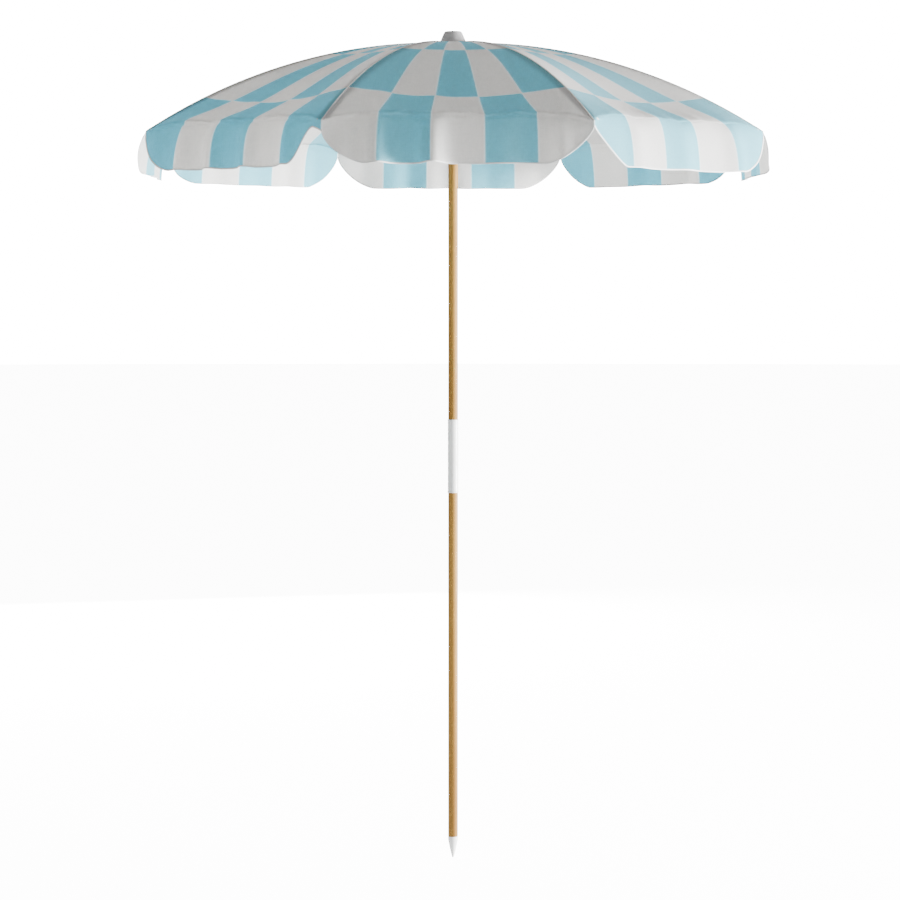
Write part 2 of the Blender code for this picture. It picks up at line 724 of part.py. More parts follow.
def build_ribs():
    rib, tip, clip, stretcher = rib_mesh(), rib_tip_mesh(), rib_clip_mesh(), stretcher_mesh()
    for k in range(RIB_COUNT):
        degrees = (k + 0.5) * 360 / RIB_COUNT
        turn = azimuth_turn(degrees)
        hinge = placed((PIVOT_RADIUS, 0.0, PIVOT_Z), degrees)
        add_part(f"rib_{k + 1}", rib, STEEL, hinge, turn)
        add_part(f"rib_tip_{k + 1}", tip, CREAM_PLASTIC, hinge, turn)
        add_part(f"rib_clip_{k + 1}", clip, STEEL, hinge, turn)
        rivet = placed((RIVET_X, 0.0, RIVET_Z), degrees)
        add_part(f"stretcher_{k + 1}", stretcher, STEEL, rivet, turn)


def build_canopy():
    panel, valance = panel_mesh(), valance_mesh()
    for k in range(RIB_COUNT):
        degrees = k * 360 / RIB_COUNT
        turn = azimuth_turn(degrees)
        look = AQUA_CLOTH if k % 2 else WHITE_CLOTH
        add_cloth(f"panel_{k + 1}", panel, look, placed(PANEL_PIVOT, degrees), turn)
        add_cloth(f"valance_{k + 1}", valance, look, placed(CREASE, degrees), turn)


def clear_scene():
    for obj in list(bpy.data.objects):
        bpy.data.objects.remove(obj, do_unlink=True)


clear_scene()
PARTS = new_collection("beach_umbrella")
CUTTERS = new_collection("cutters", hidden=True)

build_ground_tip()
build_lower_pole()
build_joiner_sleeve()
build_sleeve_screw()
build_upper_pole()
build_catch_spring()
build_crown_hub()
build_wire("crown_wire", PIVOT_RADIUS, PIVOT_Z)
build_crown_patch()
build_crown_cap()
build_runner()
build_wire("runner_wire", RUNNER_PIVOT_RADIUS, RUNNER_PIVOT_Z)
build_ribs()
build_canopy()
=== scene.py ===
"""Looks of the beach umbrella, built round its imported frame.

Units are metres, +Z is up and the origin is the blunt end of the ground tip. The umbrella stands open.
Azimuth 0 faces -Y and 90 faces +X. Panel 1 faces azimuth 0, and rib 1 stands between panels 1 and 2.
Cloth and ribs are laid out in a frame with x outward, y across and z up, then turned to their azimuth.
"""

import json
import logging
import math
from collections.abc import Callable, Sequence
from dataclasses import dataclass, field
from enum import Enum

import bmesh
import bpy
from mathutils import Matrix, Vector

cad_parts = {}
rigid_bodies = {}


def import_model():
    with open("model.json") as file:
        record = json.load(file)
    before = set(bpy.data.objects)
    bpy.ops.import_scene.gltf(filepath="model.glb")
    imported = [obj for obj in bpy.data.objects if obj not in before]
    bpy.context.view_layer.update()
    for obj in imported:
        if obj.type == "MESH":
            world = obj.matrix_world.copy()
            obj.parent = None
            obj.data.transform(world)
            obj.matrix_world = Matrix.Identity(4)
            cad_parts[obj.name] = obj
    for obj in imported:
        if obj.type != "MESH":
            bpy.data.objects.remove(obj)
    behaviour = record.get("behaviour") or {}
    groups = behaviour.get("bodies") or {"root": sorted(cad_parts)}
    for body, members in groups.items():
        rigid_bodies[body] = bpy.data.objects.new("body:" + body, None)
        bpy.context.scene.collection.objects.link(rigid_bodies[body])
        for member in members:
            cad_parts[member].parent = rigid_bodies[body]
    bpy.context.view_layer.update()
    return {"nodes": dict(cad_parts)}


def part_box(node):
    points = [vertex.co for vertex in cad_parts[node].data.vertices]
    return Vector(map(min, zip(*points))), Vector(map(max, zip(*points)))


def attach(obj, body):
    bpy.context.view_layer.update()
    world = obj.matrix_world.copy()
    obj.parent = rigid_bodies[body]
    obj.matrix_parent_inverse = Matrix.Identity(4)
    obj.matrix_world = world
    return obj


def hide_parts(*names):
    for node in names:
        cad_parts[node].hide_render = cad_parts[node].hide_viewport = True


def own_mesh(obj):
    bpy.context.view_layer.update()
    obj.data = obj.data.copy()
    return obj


LOG = logging.getLogger("beach_umbrella")

Outline = list[tuple[float, float]]
Chart = Callable[[float, float], tuple[float, float]]
Socket = bpy.types.NodeSocket


class Slot(Enum):
    """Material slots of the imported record."""

    TIMBER = "timber"
    COAT = "white_coat"
    STEEL = "steel"
    PLASTIC = "plastic"
    WHITE_CLOTH = "white_cloth"
    AQUA_CLOTH = "aqua_cloth"


class ChartName(Enum):
    """UV maps that the cloth pieces carry."""

    CHECK = "check"
    METRIC = "metric"


class Graph:
    """A material's node tree, with short calls to add nodes and join them."""

    def __init__(self, name: str) -> None:
        """Start an empty tree with an output and a Principled shader.

        Args:
            name: Name of the material.
        """
        self.material = bpy.data.materials.new(name)
        self.material.use_nodes = True
        self.tree = self.material.node_tree
        self.tree.nodes.clear()
        self.output = self.node("ShaderNodeOutputMaterial")
        self.shader = self.node("ShaderNodeBsdfPrincipled")
        self.surface(self.shader.outputs["BSDF"])

    def node(self, kind: str, **settings: object) -> bpy.types.Node:
        """Add a node.

        Args:
            kind: Blender's name for the node type.
            **settings: Properties to set on the node.

        Returns:
            The new node.
        """
        made = self.tree.nodes.new(kind)
        for key, value in settings.items():
            setattr(made, key, value)
        return made

    def join(self, source: Socket | float, target: Socket) -> None:
        """Link a socket to a target, or set the target to a number."""
        if isinstance(source, bpy.types.NodeSocket):
            self.tree.links.new(source, target)
        else:
            target.default_value = source

    def surface(self, shader: Socket) -> None:
        """Show this shader."""
        self.tree.links.new(shader, self.output.inputs["Surface"])

    def math(self, operation: str, *values: Socket | float) -> Socket:
        """Add a Math node.

        Args:
            operation: Blender's name for the operation.
            *values: One to three sockets or numbers.

        Returns:
            The node's result.
        """
        made = self.node("ShaderNodeMath", operation=operation)
        for value, target in zip(values, made.inputs):
            self.join(value, target)
        return made.outputs["Value"]

    def place(self, scale: tuple[float, float, float]) -> Socket:
        """Object coordinates, scaled.

        Args:
            scale: Repeats per metre along each axis.

        Returns:
            The coordinates.
        """
        coords = self.node("ShaderNodeTexCoord")
        mapping = self.node("ShaderNodeMapping")
        mapping.inputs["Scale"].default_value = scale
        self.join(coords.outputs["Object"], mapping.inputs["Vector"])
        return mapping.outputs["Vector"]

    def chart(self, name: ChartName) -> tuple[Socket, Socket]:
        """The two coordinates of a UV map."""
        found = self.node("ShaderNodeUVMap", uv_map=name.value)
        parts = self.node("ShaderNodeSeparateXYZ")
        self.join(found.outputs["UV"], parts.inputs["Vector"])
        return parts.outputs["X"], parts.outputs["Y"]

    def noise(self, vector: Socket, scale: float = 1.0, detail: float = 3.0, rough: float = 0.5) -> Socket:
        """A noise from 0 to 1.

        Args:
            vector: Coordinates that it follows.
            scale: Scale of the noise in those coordinates.
            detail: Number of finer layers.
            rough: Strength of the finer layers.

        Returns:
            The noise.
        """
        made = self.node("ShaderNodeTexNoise")
        made.inputs["Scale"].default_value = scale
        made.inputs["Detail"].default_value = detail
        made.inputs["Roughness"].default_value = rough
        self.join(vector, made.inputs["Vector"])
        return made.outputs["Fac"]

    def span(self, value: Socket, low: float, high: float, to_low: float, to_high: float) -> Socket:
        """Map a value from one range to another, smoothly and within the range.

        Args:
            value: The value.
            low: Start of the range it comes from.
            high: End of the range it comes from.
            to_low: Result at low.
            to_high: Result at high.

        Returns:
            The mapped value.
        """
        made = self.node("ShaderNodeMapRange", interpolation_type="SMOOTHSTEP")
        for key, number in zip(("From Min", "From Max", "To Min", "To Max"), (low, high, to_low, to_high)):
            made.inputs[key].default_value = number
        self.join(value, made.inputs["Value"])
        return made.outputs["Result"]

    def blend(self, share: Socket | float, first: object, second: object, mode: str = "MIX") -> Socket:
        """Mix two colours.

        Args:
            share: Share of the second colour.
            first: A colour or a colour socket.
            second: A colour or a colour socket.
            mode: Blender's name for the way they mix.

        Returns:
            The mixed colour.
        """
        made = self.node("ShaderNodeMix", data_type="RGBA", blend_type=mode)
        self.join(share, made.inputs["Factor"])
        for value, target in ((first, made.inputs["A"]), (second, made.inputs["B"])):
            if isinstance(value, bpy.types.NodeSocket):
                self.join(value, target)
            else:
                target.default_value = (*value, 1.0)
        return made.outputs["Result"]

    def bump(self, height: Socket, strength: float, distance: float) -> Socket:
        """Add a bump.

        Args:
            height: Height of the surface.
            strength: Share of the effect.
            distance: Depth in metres of a height of 1.

        Returns:
            The bent normal.
        """
        made = self.node("ShaderNodeBump")
        made.inputs["Strength"].default_value = strength
        made.inputs["Distance"].default_value = distance
        self.join(height, made.inputs["Height"])
        return made.outputs["Normal"]

    def dress(self, colour: Socket, roughness: Socket, normal: Socket) -> None:
        """Give the Principled shader its colour, roughness and normal."""
        self.join(colour, self.shader.inputs["Base Color"])
        self.join(roughness, self.shader.inputs["Roughness"])
        self.join(normal, self.shader.inputs["Normal"])

    def settle(self, **values: float) -> None:
        """Set the Principled shader's own numbers, with spaces written as underscores."""
        for key, number in values.items():
            self.shader.inputs[key.replace("_", " ")].default_value = number


@dataclass(frozen=True)
class TimberFinish:
    """Lacquered light timber with its grain along the pole."""

    light: tuple[float, float, float] = (0.33, 0.182, 0.042)
    dark: tuple[float, float, float] = (0.215, 0.104, 0.022)
    pore: tuple[float, float, float] = (0.17, 0.08, 0.02)

    def build(self) -> bpy.types.Material:
        """Make the material."""
        graph = Graph("lacquered_timber")
        bands = graph.noise(graph.place((55.0, 55.0, 1.6)), detail=4.0, rough=0.55)
        figure = graph.noise(graph.place((16.0, 16.0, 0.7)), detail=2.0)
        pores = graph.noise(graph.place((700.0, 700.0, 14.0)), detail=2.0)
        body = graph.blend(graph.span(bands, 0.34, 0.68, 0.0, 1.0), self.light, self.dark)
        body = graph.blend(graph.span(figure, 0.35, 0.70, 0.0, 0.45), body, self.dark)
        body = graph.blend(graph.span(pores, 0.60, 0.78, 0.0, 0.60), body, self.pore)
        height = graph.math("SUBTRACT", graph.math("MULTIPLY", bands, 0.4), pores)
        roughness = graph.span(pores, 0.3, 0.8, 0.36, 0.58)
        graph.dress(body, roughness, graph.bump(height, 0.35, 0.0002))
        graph.settle(Specular_IOR_Level=0.10)
        return graph.material


@dataclass(frozen=True)
class CoatFinish:
    """White powder coat on steel: a faint orange peel, with dust in the low spots."""

    clean: tuple[float, float, float] = (0.84, 0.84, 0.82)
    dusty: tuple[float, float, float] = (0.68, 0.67, 0.63)

    def build(self) -> bpy.types.Material:
        """Make the material."""
        graph = Graph("white_powder_coat")
        peel = graph.noise(graph.place((420.0, 420.0, 420.0)), detail=2.0)
        dust = graph.noise(graph.place((48.0, 48.0, 22.0)), detail=5.0, rough=0.62)
        colour = graph.blend(graph.span(dust, 0.48, 0.78, 0.0, 0.55), self.clean, self.dusty)
        roughness = graph.span(dust, 0.3, 0.8, 0.30, 0.50)
        graph.dress(colour, roughness, graph.bump(peel, 0.25, 0.0003))
        graph.settle(Specular_IOR_Level=0.5)
        return graph.material


@dataclass(frozen=True)
class SteelFinish:
    """Zinc-plated steel with a faint mottle and fine marks along it."""

    light: tuple[float, float, float] = (0.66, 0.66, 0.65)
    dark: tuple[float, float, float] = (0.42, 0.42, 0.43)

    def build(self) -> bpy.types.Material:
        """Make the material."""
        graph = Graph("zinc_plated_steel")
        mottle = graph.noise(graph.place((95.0, 95.0, 95.0)), detail=4.0, rough=0.6)
        marks = graph.noise(graph.place((900.0, 900.0, 120.0)), detail=2.0)
        colour = graph.blend(graph.span(mottle, 0.35, 0.70, 0.0, 1.0), self.light, self.dark)
        roughness = graph.span(mottle, 0.3, 0.7, 0.24, 0.46)
        graph.dress(colour, roughness, graph.bump(marks, 0.2, 0.0001))
        graph.settle(Metallic=1.0)
        return graph.material


@dataclass(frozen=True)
class PlasticFinish:
    """Moulded plastic with a fine spark-eroded texture."""

    name: str = "moulded_plastic"
    clean: tuple[float, float, float] = (0.44, 0.43, 0.43)
    worn: tuple[float, float, float] = (0.36, 0.355, 0.355)

    def build(self) -> bpy.types.Material:
        """Make the material."""
        graph = Graph(self.name)
        grain = graph.noise(graph.place((1500.0, 1500.0, 1500.0)), detail=1.0)
        wear = graph.noise(graph.place((70.0, 70.0, 70.0)), detail=4.0, rough=0.6)
        colour = graph.blend(graph.span(wear, 0.40, 0.75, 0.0, 1.0), self.clean, self.worn)
        roughness = graph.span(wear, 0.3, 0.7, 0.42, 0.60)
        graph.dress(colour, roughness, graph.bump(grain, 0.3, 0.0002))
        graph.settle(Specular_IOR_Level=0.45)
        return graph.material


@dataclass(frozen=True)
class CheckClothFinish:
    """Aqua and white checks of plain weave, sewn together with narrow pale seams.

    The check chart counts columns across and rows outward, so whole numbers are the seams. The metric
    chart holds metres across and metres outward.
    """

    aqua: tuple[float, float, float] = (0.235, 0.600, 0.700)
    white: tuple[float, float, float] = (0.80, 0.785, 0.765)
    seam: tuple[float, float, float] = (0.78, 0.83, 0.84)
    thread: float = 0.0011
    seam_half: float = 0.0013
    stitch_from_seam: float = 0.0030
    stitch_length: float = 0.0034
    row_length: float = 0.37
    column_rate: float = 0.153  # width of a column over its distance from the pole
    widest: float = 0.90
    see_through: float = 0.42

    def seam_distance(self, graph: Graph, count: Socket, width: Socket | float) -> Socket:
        """Metres to the nearest seam that this count crosses.

        Args:
            graph: The material's nodes.
            count: Coordinate that is whole on a seam.
            width: Metres from one seam to the next.

        Returns:
            The distance.
        """
        shifted = graph.math("FRACT", graph.math("ADD", count, 0.5))
        share = graph.math("ABSOLUTE", graph.math("SUBTRACT", shifted, 0.5))
        return graph.math("MULTIPLY", share, width)

    def stitches(self, graph: Graph, distance: Socket, along: Socket) -> Socket:
        """A dashed line of thread beside a seam.

        Args:
            graph: The material's nodes.
            distance: Metres from the seam.
            along: Metres along it.

        Returns:
            1 on the thread and 0 off it.
        """
        off = graph.math("ABSOLUTE", graph.math("SUBTRACT", distance, self.stitch_from_seam))
        line = graph.span(off, 0.0003, 0.0006, 1.0, 0.0)
        dash = graph.math("FRACT", graph.math("DIVIDE", along, self.stitch_length))
        return graph.math("MULTIPLY", line, graph.math("LESS_THAN", dash, 0.65))

    def build(self) -> bpy.types.Material:
        """Make the material."""
        graph = Graph("check_cloth")
        column, row = graph.chart(ChartName.CHECK)
        across, outward = graph.chart(ChartName.METRIC)
        count = graph.math("ADD", graph.math("FLOOR", column), graph.math("FLOOR", row))
        parity = graph.math("PINGPONG", count, 1.0)
        reach = graph.math("MINIMUM", outward, self.widest)
        width = graph.math("MULTIPLY", reach, self.column_rate)
        from_column = self.seam_distance(graph, column, width)
        from_row = self.seam_distance(graph, row, self.row_length)
        near = graph.math("MINIMUM", from_column, from_row)
        on_seam = graph.span(near, self.seam_half * 0.7, self.seam_half * 1.3, 1.0, 0.0)
        thread = graph.math(
            "MAXIMUM",
            self.stitches(graph, from_column, outward),
            self.stitches(graph, from_row, across),
        )
        weave = self.weave(graph, across, outward)
        slub = self.slub(graph, across, outward)
        cloth = graph.blend(parity, self.white, self.aqua)
        cloth = graph.blend(graph.span(slub, 0.30, 0.72, 0.0, 0.16), cloth, (0.30, 0.34, 0.36), "MULTIPLY")
        # Darker where the weave is low: painted shade in the hollows between the threads.
        cloth = graph.blend(graph.span(weave, -1.0, 1.0, 0.10, 0.0), cloth, (0.2, 0.2, 0.2), "MULTIPLY")
        cloth = graph.blend(on_seam, cloth, self.seam)
        cloth = graph.blend(graph.math("MULTIPLY", thread, 0.5), cloth, (0.86, 0.88, 0.88))
        raised = graph.math("ADD", graph.math("MULTIPLY", on_seam, 2.2), graph.math("MULTIPLY", thread, 0.8))
        height = graph.math("ADD", raised, graph.math("MULTIPLY", weave, 0.5))
        normal = graph.bump(height, 0.5, 0.0003)
        graph.dress(cloth, graph.span(slub, 0.3, 0.7, 0.78, 0.92), normal)
        graph.settle(Specular_IOR_Level=0.22, Sheen_Weight=0.12, Sheen_Roughness=0.6)
        light_through = graph.node("ShaderNodeBsdfTranslucent")
        graph.join(cloth, light_through.inputs["Color"])
        graph.join(normal, light_through.inputs["Normal"])
        mixed = graph.node("ShaderNodeMixShader")
        mixed.inputs["Fac"].default_value = self.see_through
        graph.join(graph.shader.outputs["BSDF"], mixed.inputs[1])
        graph.join(light_through.outputs["BSDF"], mixed.inputs[2])
        graph.surface(mixed.outputs["Shader"])
        return graph.material

    def weave(self, graph: Graph, across: Socket, outward: Socket) -> Socket:
        """Plain weave from -1 to 1, where one set of threads crosses the other."""
        turn = 2.0 * math.pi / self.thread
        warp = graph.math("SINE", graph.math("MULTIPLY", across, turn))
        weft = graph.math("SINE", graph.math("MULTIPLY", outward, turn))
        return graph.math("MULTIPLY", warp, weft)

    def slub(self, graph: Graph, across: Socket, outward: Socket) -> Socket:
        """Uneven yarn: streaks along both sets of threads."""
        streaks = []
        for first, second in ((60.0, 900.0), (900.0, 60.0)):
            vector = graph.node("ShaderNodeCombineXYZ")
            graph.join(graph.math("MULTIPLY", across, first), vector.inputs["X"])
            graph.join(graph.math("MULTIPLY", outward, second), vector.inputs["Y"])
            streaks.append(graph.noise(vector.outputs["Vector"], scale=0.35, detail=3.0, rough=0.6))
        mottle = graph.node("ShaderNodeCombineXYZ")
        graph.join(across, mottle.inputs["X"])
        graph.join(outward, mottle.inputs["Y"])
        broad = graph.noise(mottle.outputs["Vector"], scale=120.0, detail=4.0, rough=0.65)
        both = graph.math("MULTIPLY", graph.math("ADD", *streaks), 0.30)
        return graph.math("ADD", both, graph.math("MULTIPLY", broad, 0.40))


@dataclass(frozen=True)
class TapeFinish:
    """White woven tape with fine ribs across it."""

    name: str = "woven_tape"
    white: tuple[float, float, float] = (0.86, 0.86, 0.85)
    # Painted shade for the hollows between the tape's ribs, also used for its random fuzz mottle.
    fuzz_and_painted_shade: tuple[float, float, float] = (0.66, 0.66, 0.65)
    rib: float = 0.0012

    def build(self) -> bpy.types.Material:
        """Make the material."""
        graph = Graph(self.name)
        _, along = graph.chart(ChartName.METRIC)
        ribs = graph.math("SINE", graph.math("MULTIPLY", along, 2.0 * math.pi / self.rib))
        fuzz = graph.noise(graph.place((650.0, 650.0, 650.0)), detail=3.0, rough=0.6)
        height = graph.math("ADD", graph.math("MULTIPLY", ribs, 0.4), fuzz)
        # Darker where the surface is low: painted shade in the hollows between the ribs, plus random mottle
        # from the fuzz.
        colour = graph.blend(graph.span(height, 0.0, 1.2, 1.0, 0.0), self.white, self.fuzz_and_painted_shade)
        graph.dress(colour, graph.span(fuzz, 0.3, 0.7, 0.75, 0.92), graph.bump(height, 0.4, 0.0003))
        graph.settle(Specular_IOR_Level=0.25, Sheen_Weight=0.10)
        return graph.material


@dataclass(frozen=True)
class Finishes:
    """Every material of the umbrella."""

    timber: bpy.types.Material
    coat: bpy.types.Material
    steel: bpy.types.Material
    plastic: bpy.types.Material
    check: bpy.types.Material
    tape: bpy.types.Material

    @classmethod
    def made(cls) -> "Finishes":
        """Build them all."""
        return cls(
            timber=TimberFinish().build(),
            coat=CoatFinish().build(),
            steel=SteelFinish().build(),
            plastic=PlasticFinish().build(),
            check=CheckClothFinish().build(),
            tape=TapeFinish().build(),
        )


@dataclass(frozen=True)
class Box:
    """Lowest and highest corner of a CAD node at rest."""

    low: Vector
    high: Vector

    @classmethod
    def of(cls, node: str) -> "Box":
        """Read a node's box from the frame."""
        return cls(*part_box(node))

    @property
    def radius(self) -> float:
        """Half of the width along X."""
        return (self.high.x - self.low.x) / 2


def azimuth_matrix(degrees: float) -> Matrix:
    """Rotation about Z that takes +X to this azimuth."""
    return Matrix.Rotation(math.radians(degrees - 90.0), 4, "Z")


def rounded(outline: Sequence[tuple[float, float]], radius: float, steps: int = 4) -> Outline:
    """Round an open outline's inner corners.

    Args:
        outline: Points of (radius, height).
        radius: How far from each corner its curve starts, at most.
        steps: Segments in each curve.

    Returns:
        The outline with a curve at each corner.
    """
    points = [Vector(p) for p in outline]
    made = [points[0]]
    for before, corner, after in zip(points, points[1:], points[2:]):
        reach = min(radius, (before - corner).length * 0.45, (after - corner).length * 0.45)
        start = corner + (before - corner).normalized() * reach
        end = corner + (after - corner).normalized() * reach
        for k in range(steps + 1):
            t = k / steps
            made.append(start * (1 - t) ** 2 + corner * 2 * t * (1 - t) + end * t**2)
    made.append(points[-1])
    return [(p.x, p.y) for p in made]


def turned(outline: Outline, steps: int = 64, ring: bool = False) -> bmesh.types.BMesh:
    """Spin an outline about Z.

    Args:
        outline: Points of (radius, height). An open outline starts and ends on the axis.
        steps: Segments round the axis.
        ring: True if the last point joins the first.

    Returns:
        A closed mesh that faces outward.
    """
    bm = bmesh.new()
    points = [bm.verts.new((radius, 0.0, height)) for radius, height in outline]
    pairs = list(zip(points, points[1:])) + ([(points[-1], points[0])] if ring else [])
    edges = [bm.edges.new(pair) for pair in pairs]
    bmesh.ops.spin(
        bm, geom=points + edges, cent=(0, 0, 0), axis=(0, 0, 1), angle=math.tau, steps=steps, use_merge=True
    )
    bmesh.ops.remove_doubles(bm, verts=bm.verts, dist=1e-6)
    bmesh.ops.recalc_face_normals(bm, faces=bm.faces)
    return bm


def swept_arc(
    centre: Vector, arc: float, wire: float, start: float, end: float, steps: int
) -> bmesh.types.BMesh:
    """A round rod along an arc in the plane of x and z.

    Args:
        centre: Middle of the arc.
        arc: Radius of the arc.
        wire: Radius of the rod.
        start: Distance from the Z axis where it starts.
        end: Distance from the Z axis where it ends.
        steps: Segments along it.

    Returns:
        A closed mesh.
    """
    first, last = math.asin(start / arc), math.asin(end / arc)
    bm = bmesh.new()
    place = Matrix.Translation(centre) @ Matrix.Rotation(first, 4, "Y") @ Matrix.Translation((0, 0, arc))
    across = Matrix.Rotation(math.radians(90), 4, "Y")
    bmesh.ops.create_circle(bm, segments=12, radius=wire, matrix=place @ across)
    bmesh.ops.spin(
        bm, geom=bm.verts[:] + bm.edges[:], cent=centre, axis=(0, 1, 0), angle=last - first, steps=steps
    )
    bmesh.ops.holes_fill(bm, edges=bm.edges)
    bmesh.ops.recalc_face_normals(bm, faces=bm.faces)
    return bm


def lay_grid(
    columns: int, rows: int, point: Callable[[float, float], Vector], charts: dict[ChartName, Chart]
) -> bmesh.types.BMesh:
    """Lay out a grid over a surface.

    Args:
        columns: Faces across.
        rows: Faces outward.
        point: Place on the surface at shares outward and across, each from 0 to 1.
        charts: UV coordinates at the same shares, for each UV map.

    Returns:
        The grid, with its UV maps.
    """
    bm = bmesh.new()
    layers = {name: bm.loops.layers.uv.new(name.value) for name in charts}
    bmesh.ops.create_grid(bm, x_segments=rows, y_segments=columns, size=0.5)
    shares = {vert: (vert.co.x + 0.5, vert.co.y + 0.5) for vert in bm.verts}
    for name, chart in charts.items():
        known = {vert: chart(*share) for vert, share in shares.items()}
        for face in bm.faces:
            for loop in face.loops:
                loop[layers[name]].uv = known[loop.vert]
    for vert, share in shares.items():
        vert.co = point(*share)
    return bm


def add_piece(
    name: str,
    bm: bmesh.types.BMesh,
    material: bpy.types.Material,
    slot: Slot,
    turn: Matrix | None = None,
    sharp: float = 40.0,
) -> bpy.types.Object:
    """Make a piece's object from its mesh.

    Args:
        name: Name of the piece.
        bm: Its mesh, which is freed.
        material: Its finish.
        slot: Record slot of its finish; not used.
        turn: Rotation that takes the mesh to its place.
        sharp: Edges that turn by more degrees than this stay sharp.

    Returns:
        The object, at the origin.
    """
    mesh = bpy.data.meshes.new(name)
    bm.to_mesh(mesh)
    bm.free()
    if turn is not None:
        mesh.transform(turn)
    mesh.shade_smooth()
    mesh.set_sharp_from_angle(angle=math.radians(sharp))
    mesh.materials.append(material)
    obj = bpy.data.objects.new(name, mesh)
    bpy.context.scene.collection.objects.link(obj)
    return obj


def thicken(obj: bpy.types.Object, thickness: float, offset: float, even: bool = False) -> None:
    """Give a sheet its thickness.

    Args:
        obj: The sheet.
        thickness: Its thickness.
        offset: Where the sheet lies in it, from -1 for the top face to 0 for the middle.
        even: True to keep the thickness where the sheet bends.
    """
    solid = obj.modifiers.new("thickness", "SOLIDIFY")
    solid.thickness = thickness
    solid.offset = offset
    solid.use_even_offset = even


def softened(node: str, name: str, material: bpy.types.Material, slot: Slot, edge: float) -> bpy.types.Object:
    """A copy of a CAD node with its faces joined and its edges rounded, which stands for it.

    Args:
        node: The CAD node.
        name: Name of the new piece.
        material: Its finish.
        slot: Record slot of its finish; not used.
        edge: Width of the rounded edges.

    Returns:
        The new piece.
    """
    bm = bmesh.new()
    bm.from_mesh(bpy.data.objects[node].data)
    bmesh.ops.remove_doubles(bm, verts=bm.verts, dist=1e-5)
    bmesh.ops.dissolve_limit(bm, angle_limit=math.radians(1.0), verts=bm.verts, edges=bm.edges)
    obj = add_piece(name, bm, material, slot, sharp=35.0)
    bevel = obj.modifiers.new("soft_edges", "BEVEL")
    bevel.width = edge
    bevel.segments = 2
    bevel.limit_method = "ANGLE"
    bevel.angle_limit = math.radians(35.0)
    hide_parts(node)
    return obj


@dataclass
class Pole:
    """The two timber halves of the pole, the white sleeve that joins them and the ground tip."""

    finishes: Finishes
    edge: float = 0.0008
    gap: float = 0.0003  # between pieces that touch
    sleeve_lip: float = 0.0006
    lip_length: float = 0.0035
    collar_groove: float = 0.0005
    pieces: list[bpy.types.Object] = field(default_factory=list)

    def build(self) -> None:
        """Build every piece and put it on its body."""
        self.build_timber()
        self.build_sleeve()
        self.build_screw()
        self.build_tip()

    def build_timber(self) -> None:
        """Both halves, with the cut edges eased."""
        for node, body in (("lower_pole", "lower"), ("upper_pole", "upper")):
            half = softened(node, f"{node}_timber", self.finishes.timber, Slot.TIMBER, self.edge)
            self.keep(half, body)

    def build_sleeve(self) -> None:
        """A thin steel tube with a rolled lip at each end."""
        box = Box.of("joiner_sleeve")
        inner = Box.of("lower_pole").radius + self.gap
        outer = box.radius
        low, high = box.low.z, box.high.z
        lip = outer + self.sleeve_lip
        wall = [
            (inner, low),
            (lip, low),
            (lip, low + self.lip_length),
            (outer, low + 1.5 * self.lip_length),
            (outer, high - 1.5 * self.lip_length),
            (lip, high - self.lip_length),
            (lip, high),
            (inner, high),
        ]
        outline = rounded(wall, self.sleeve_lip)
        sleeve = add_piece("joiner_sleeve_tube", turned(outline, ring=True), self.finishes.coat, Slot.COAT)
        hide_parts("joiner_sleeve")
        self.keep(sleeve, "lower")

    def build_screw(self) -> None:
        """A pan-head screw with a cross recess, through the back of the sleeve."""
        box = Box.of("sleeve_screw")
        head = box.radius
        seat = Box.of("joiner_sleeve").radius + self.gap
        rise = box.high.y - seat
        outline = rounded(
            [(0.0, rise), (0.7 * head, 0.9 * rise), (head, 0.3 * rise), (head, 0.0), (0.0, 0.0)], 0.0006
        )
        bm = turned(outline, steps=32)
        arm = Matrix.Translation((0.0, 0.0, rise))
        for size in ((0.9 * head, 0.2 * head), (0.2 * head, 0.9 * head)):
            recess = arm @ Matrix.Diagonal((*size, 0.15 * rise, 1.0))
            bmesh.ops.create_cube(bm, size=1.0, matrix=recess)
        middle = Vector((0.0, seat, (box.low.z + box.high.z) / 2))
        turn = Matrix.Translation(middle) @ Matrix.Rotation(math.radians(-90), 4, "X")
        screw = add_piece("sleeve_screw_head", bm, self.finishes.steel, Slot.STEEL, turn)
        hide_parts("sleeve_screw")
        self.keep(screw, "lower")

    def build_tip(self) -> None:
        """A coated steel cone under a short collar, with a groove where the collar is rolled on."""
        box = Box.of("ground_tip")
        radius = box.radius
        top = Box.of("lower_pole").low.z
        blunt = 0.18 * radius
        cone = [
            (0.0, top),
            (radius, top),
            (radius, top - 0.0030),
            (radius - self.collar_groove, top - 0.0038),
            (radius, top - 0.0046),
            (radius, top - 0.0090),
            (0.62 * radius, 0.42 * top),
            (blunt, 0.0006),
            (0.6 * blunt, 0.0),
            (0.0, 0.0),
        ]
        tip = add_piece("ground_tip_cone", turned(rounded(cone, 0.0012)), self.finishes.coat, Slot.COAT)
        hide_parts("ground_tip")
        self.keep(tip, "lower")

    def keep(self, obj: bpy.types.Object, body: str) -> None:
        """Put a piece on its body and note it."""
        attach(obj, body)
        self.pieces.append(obj)


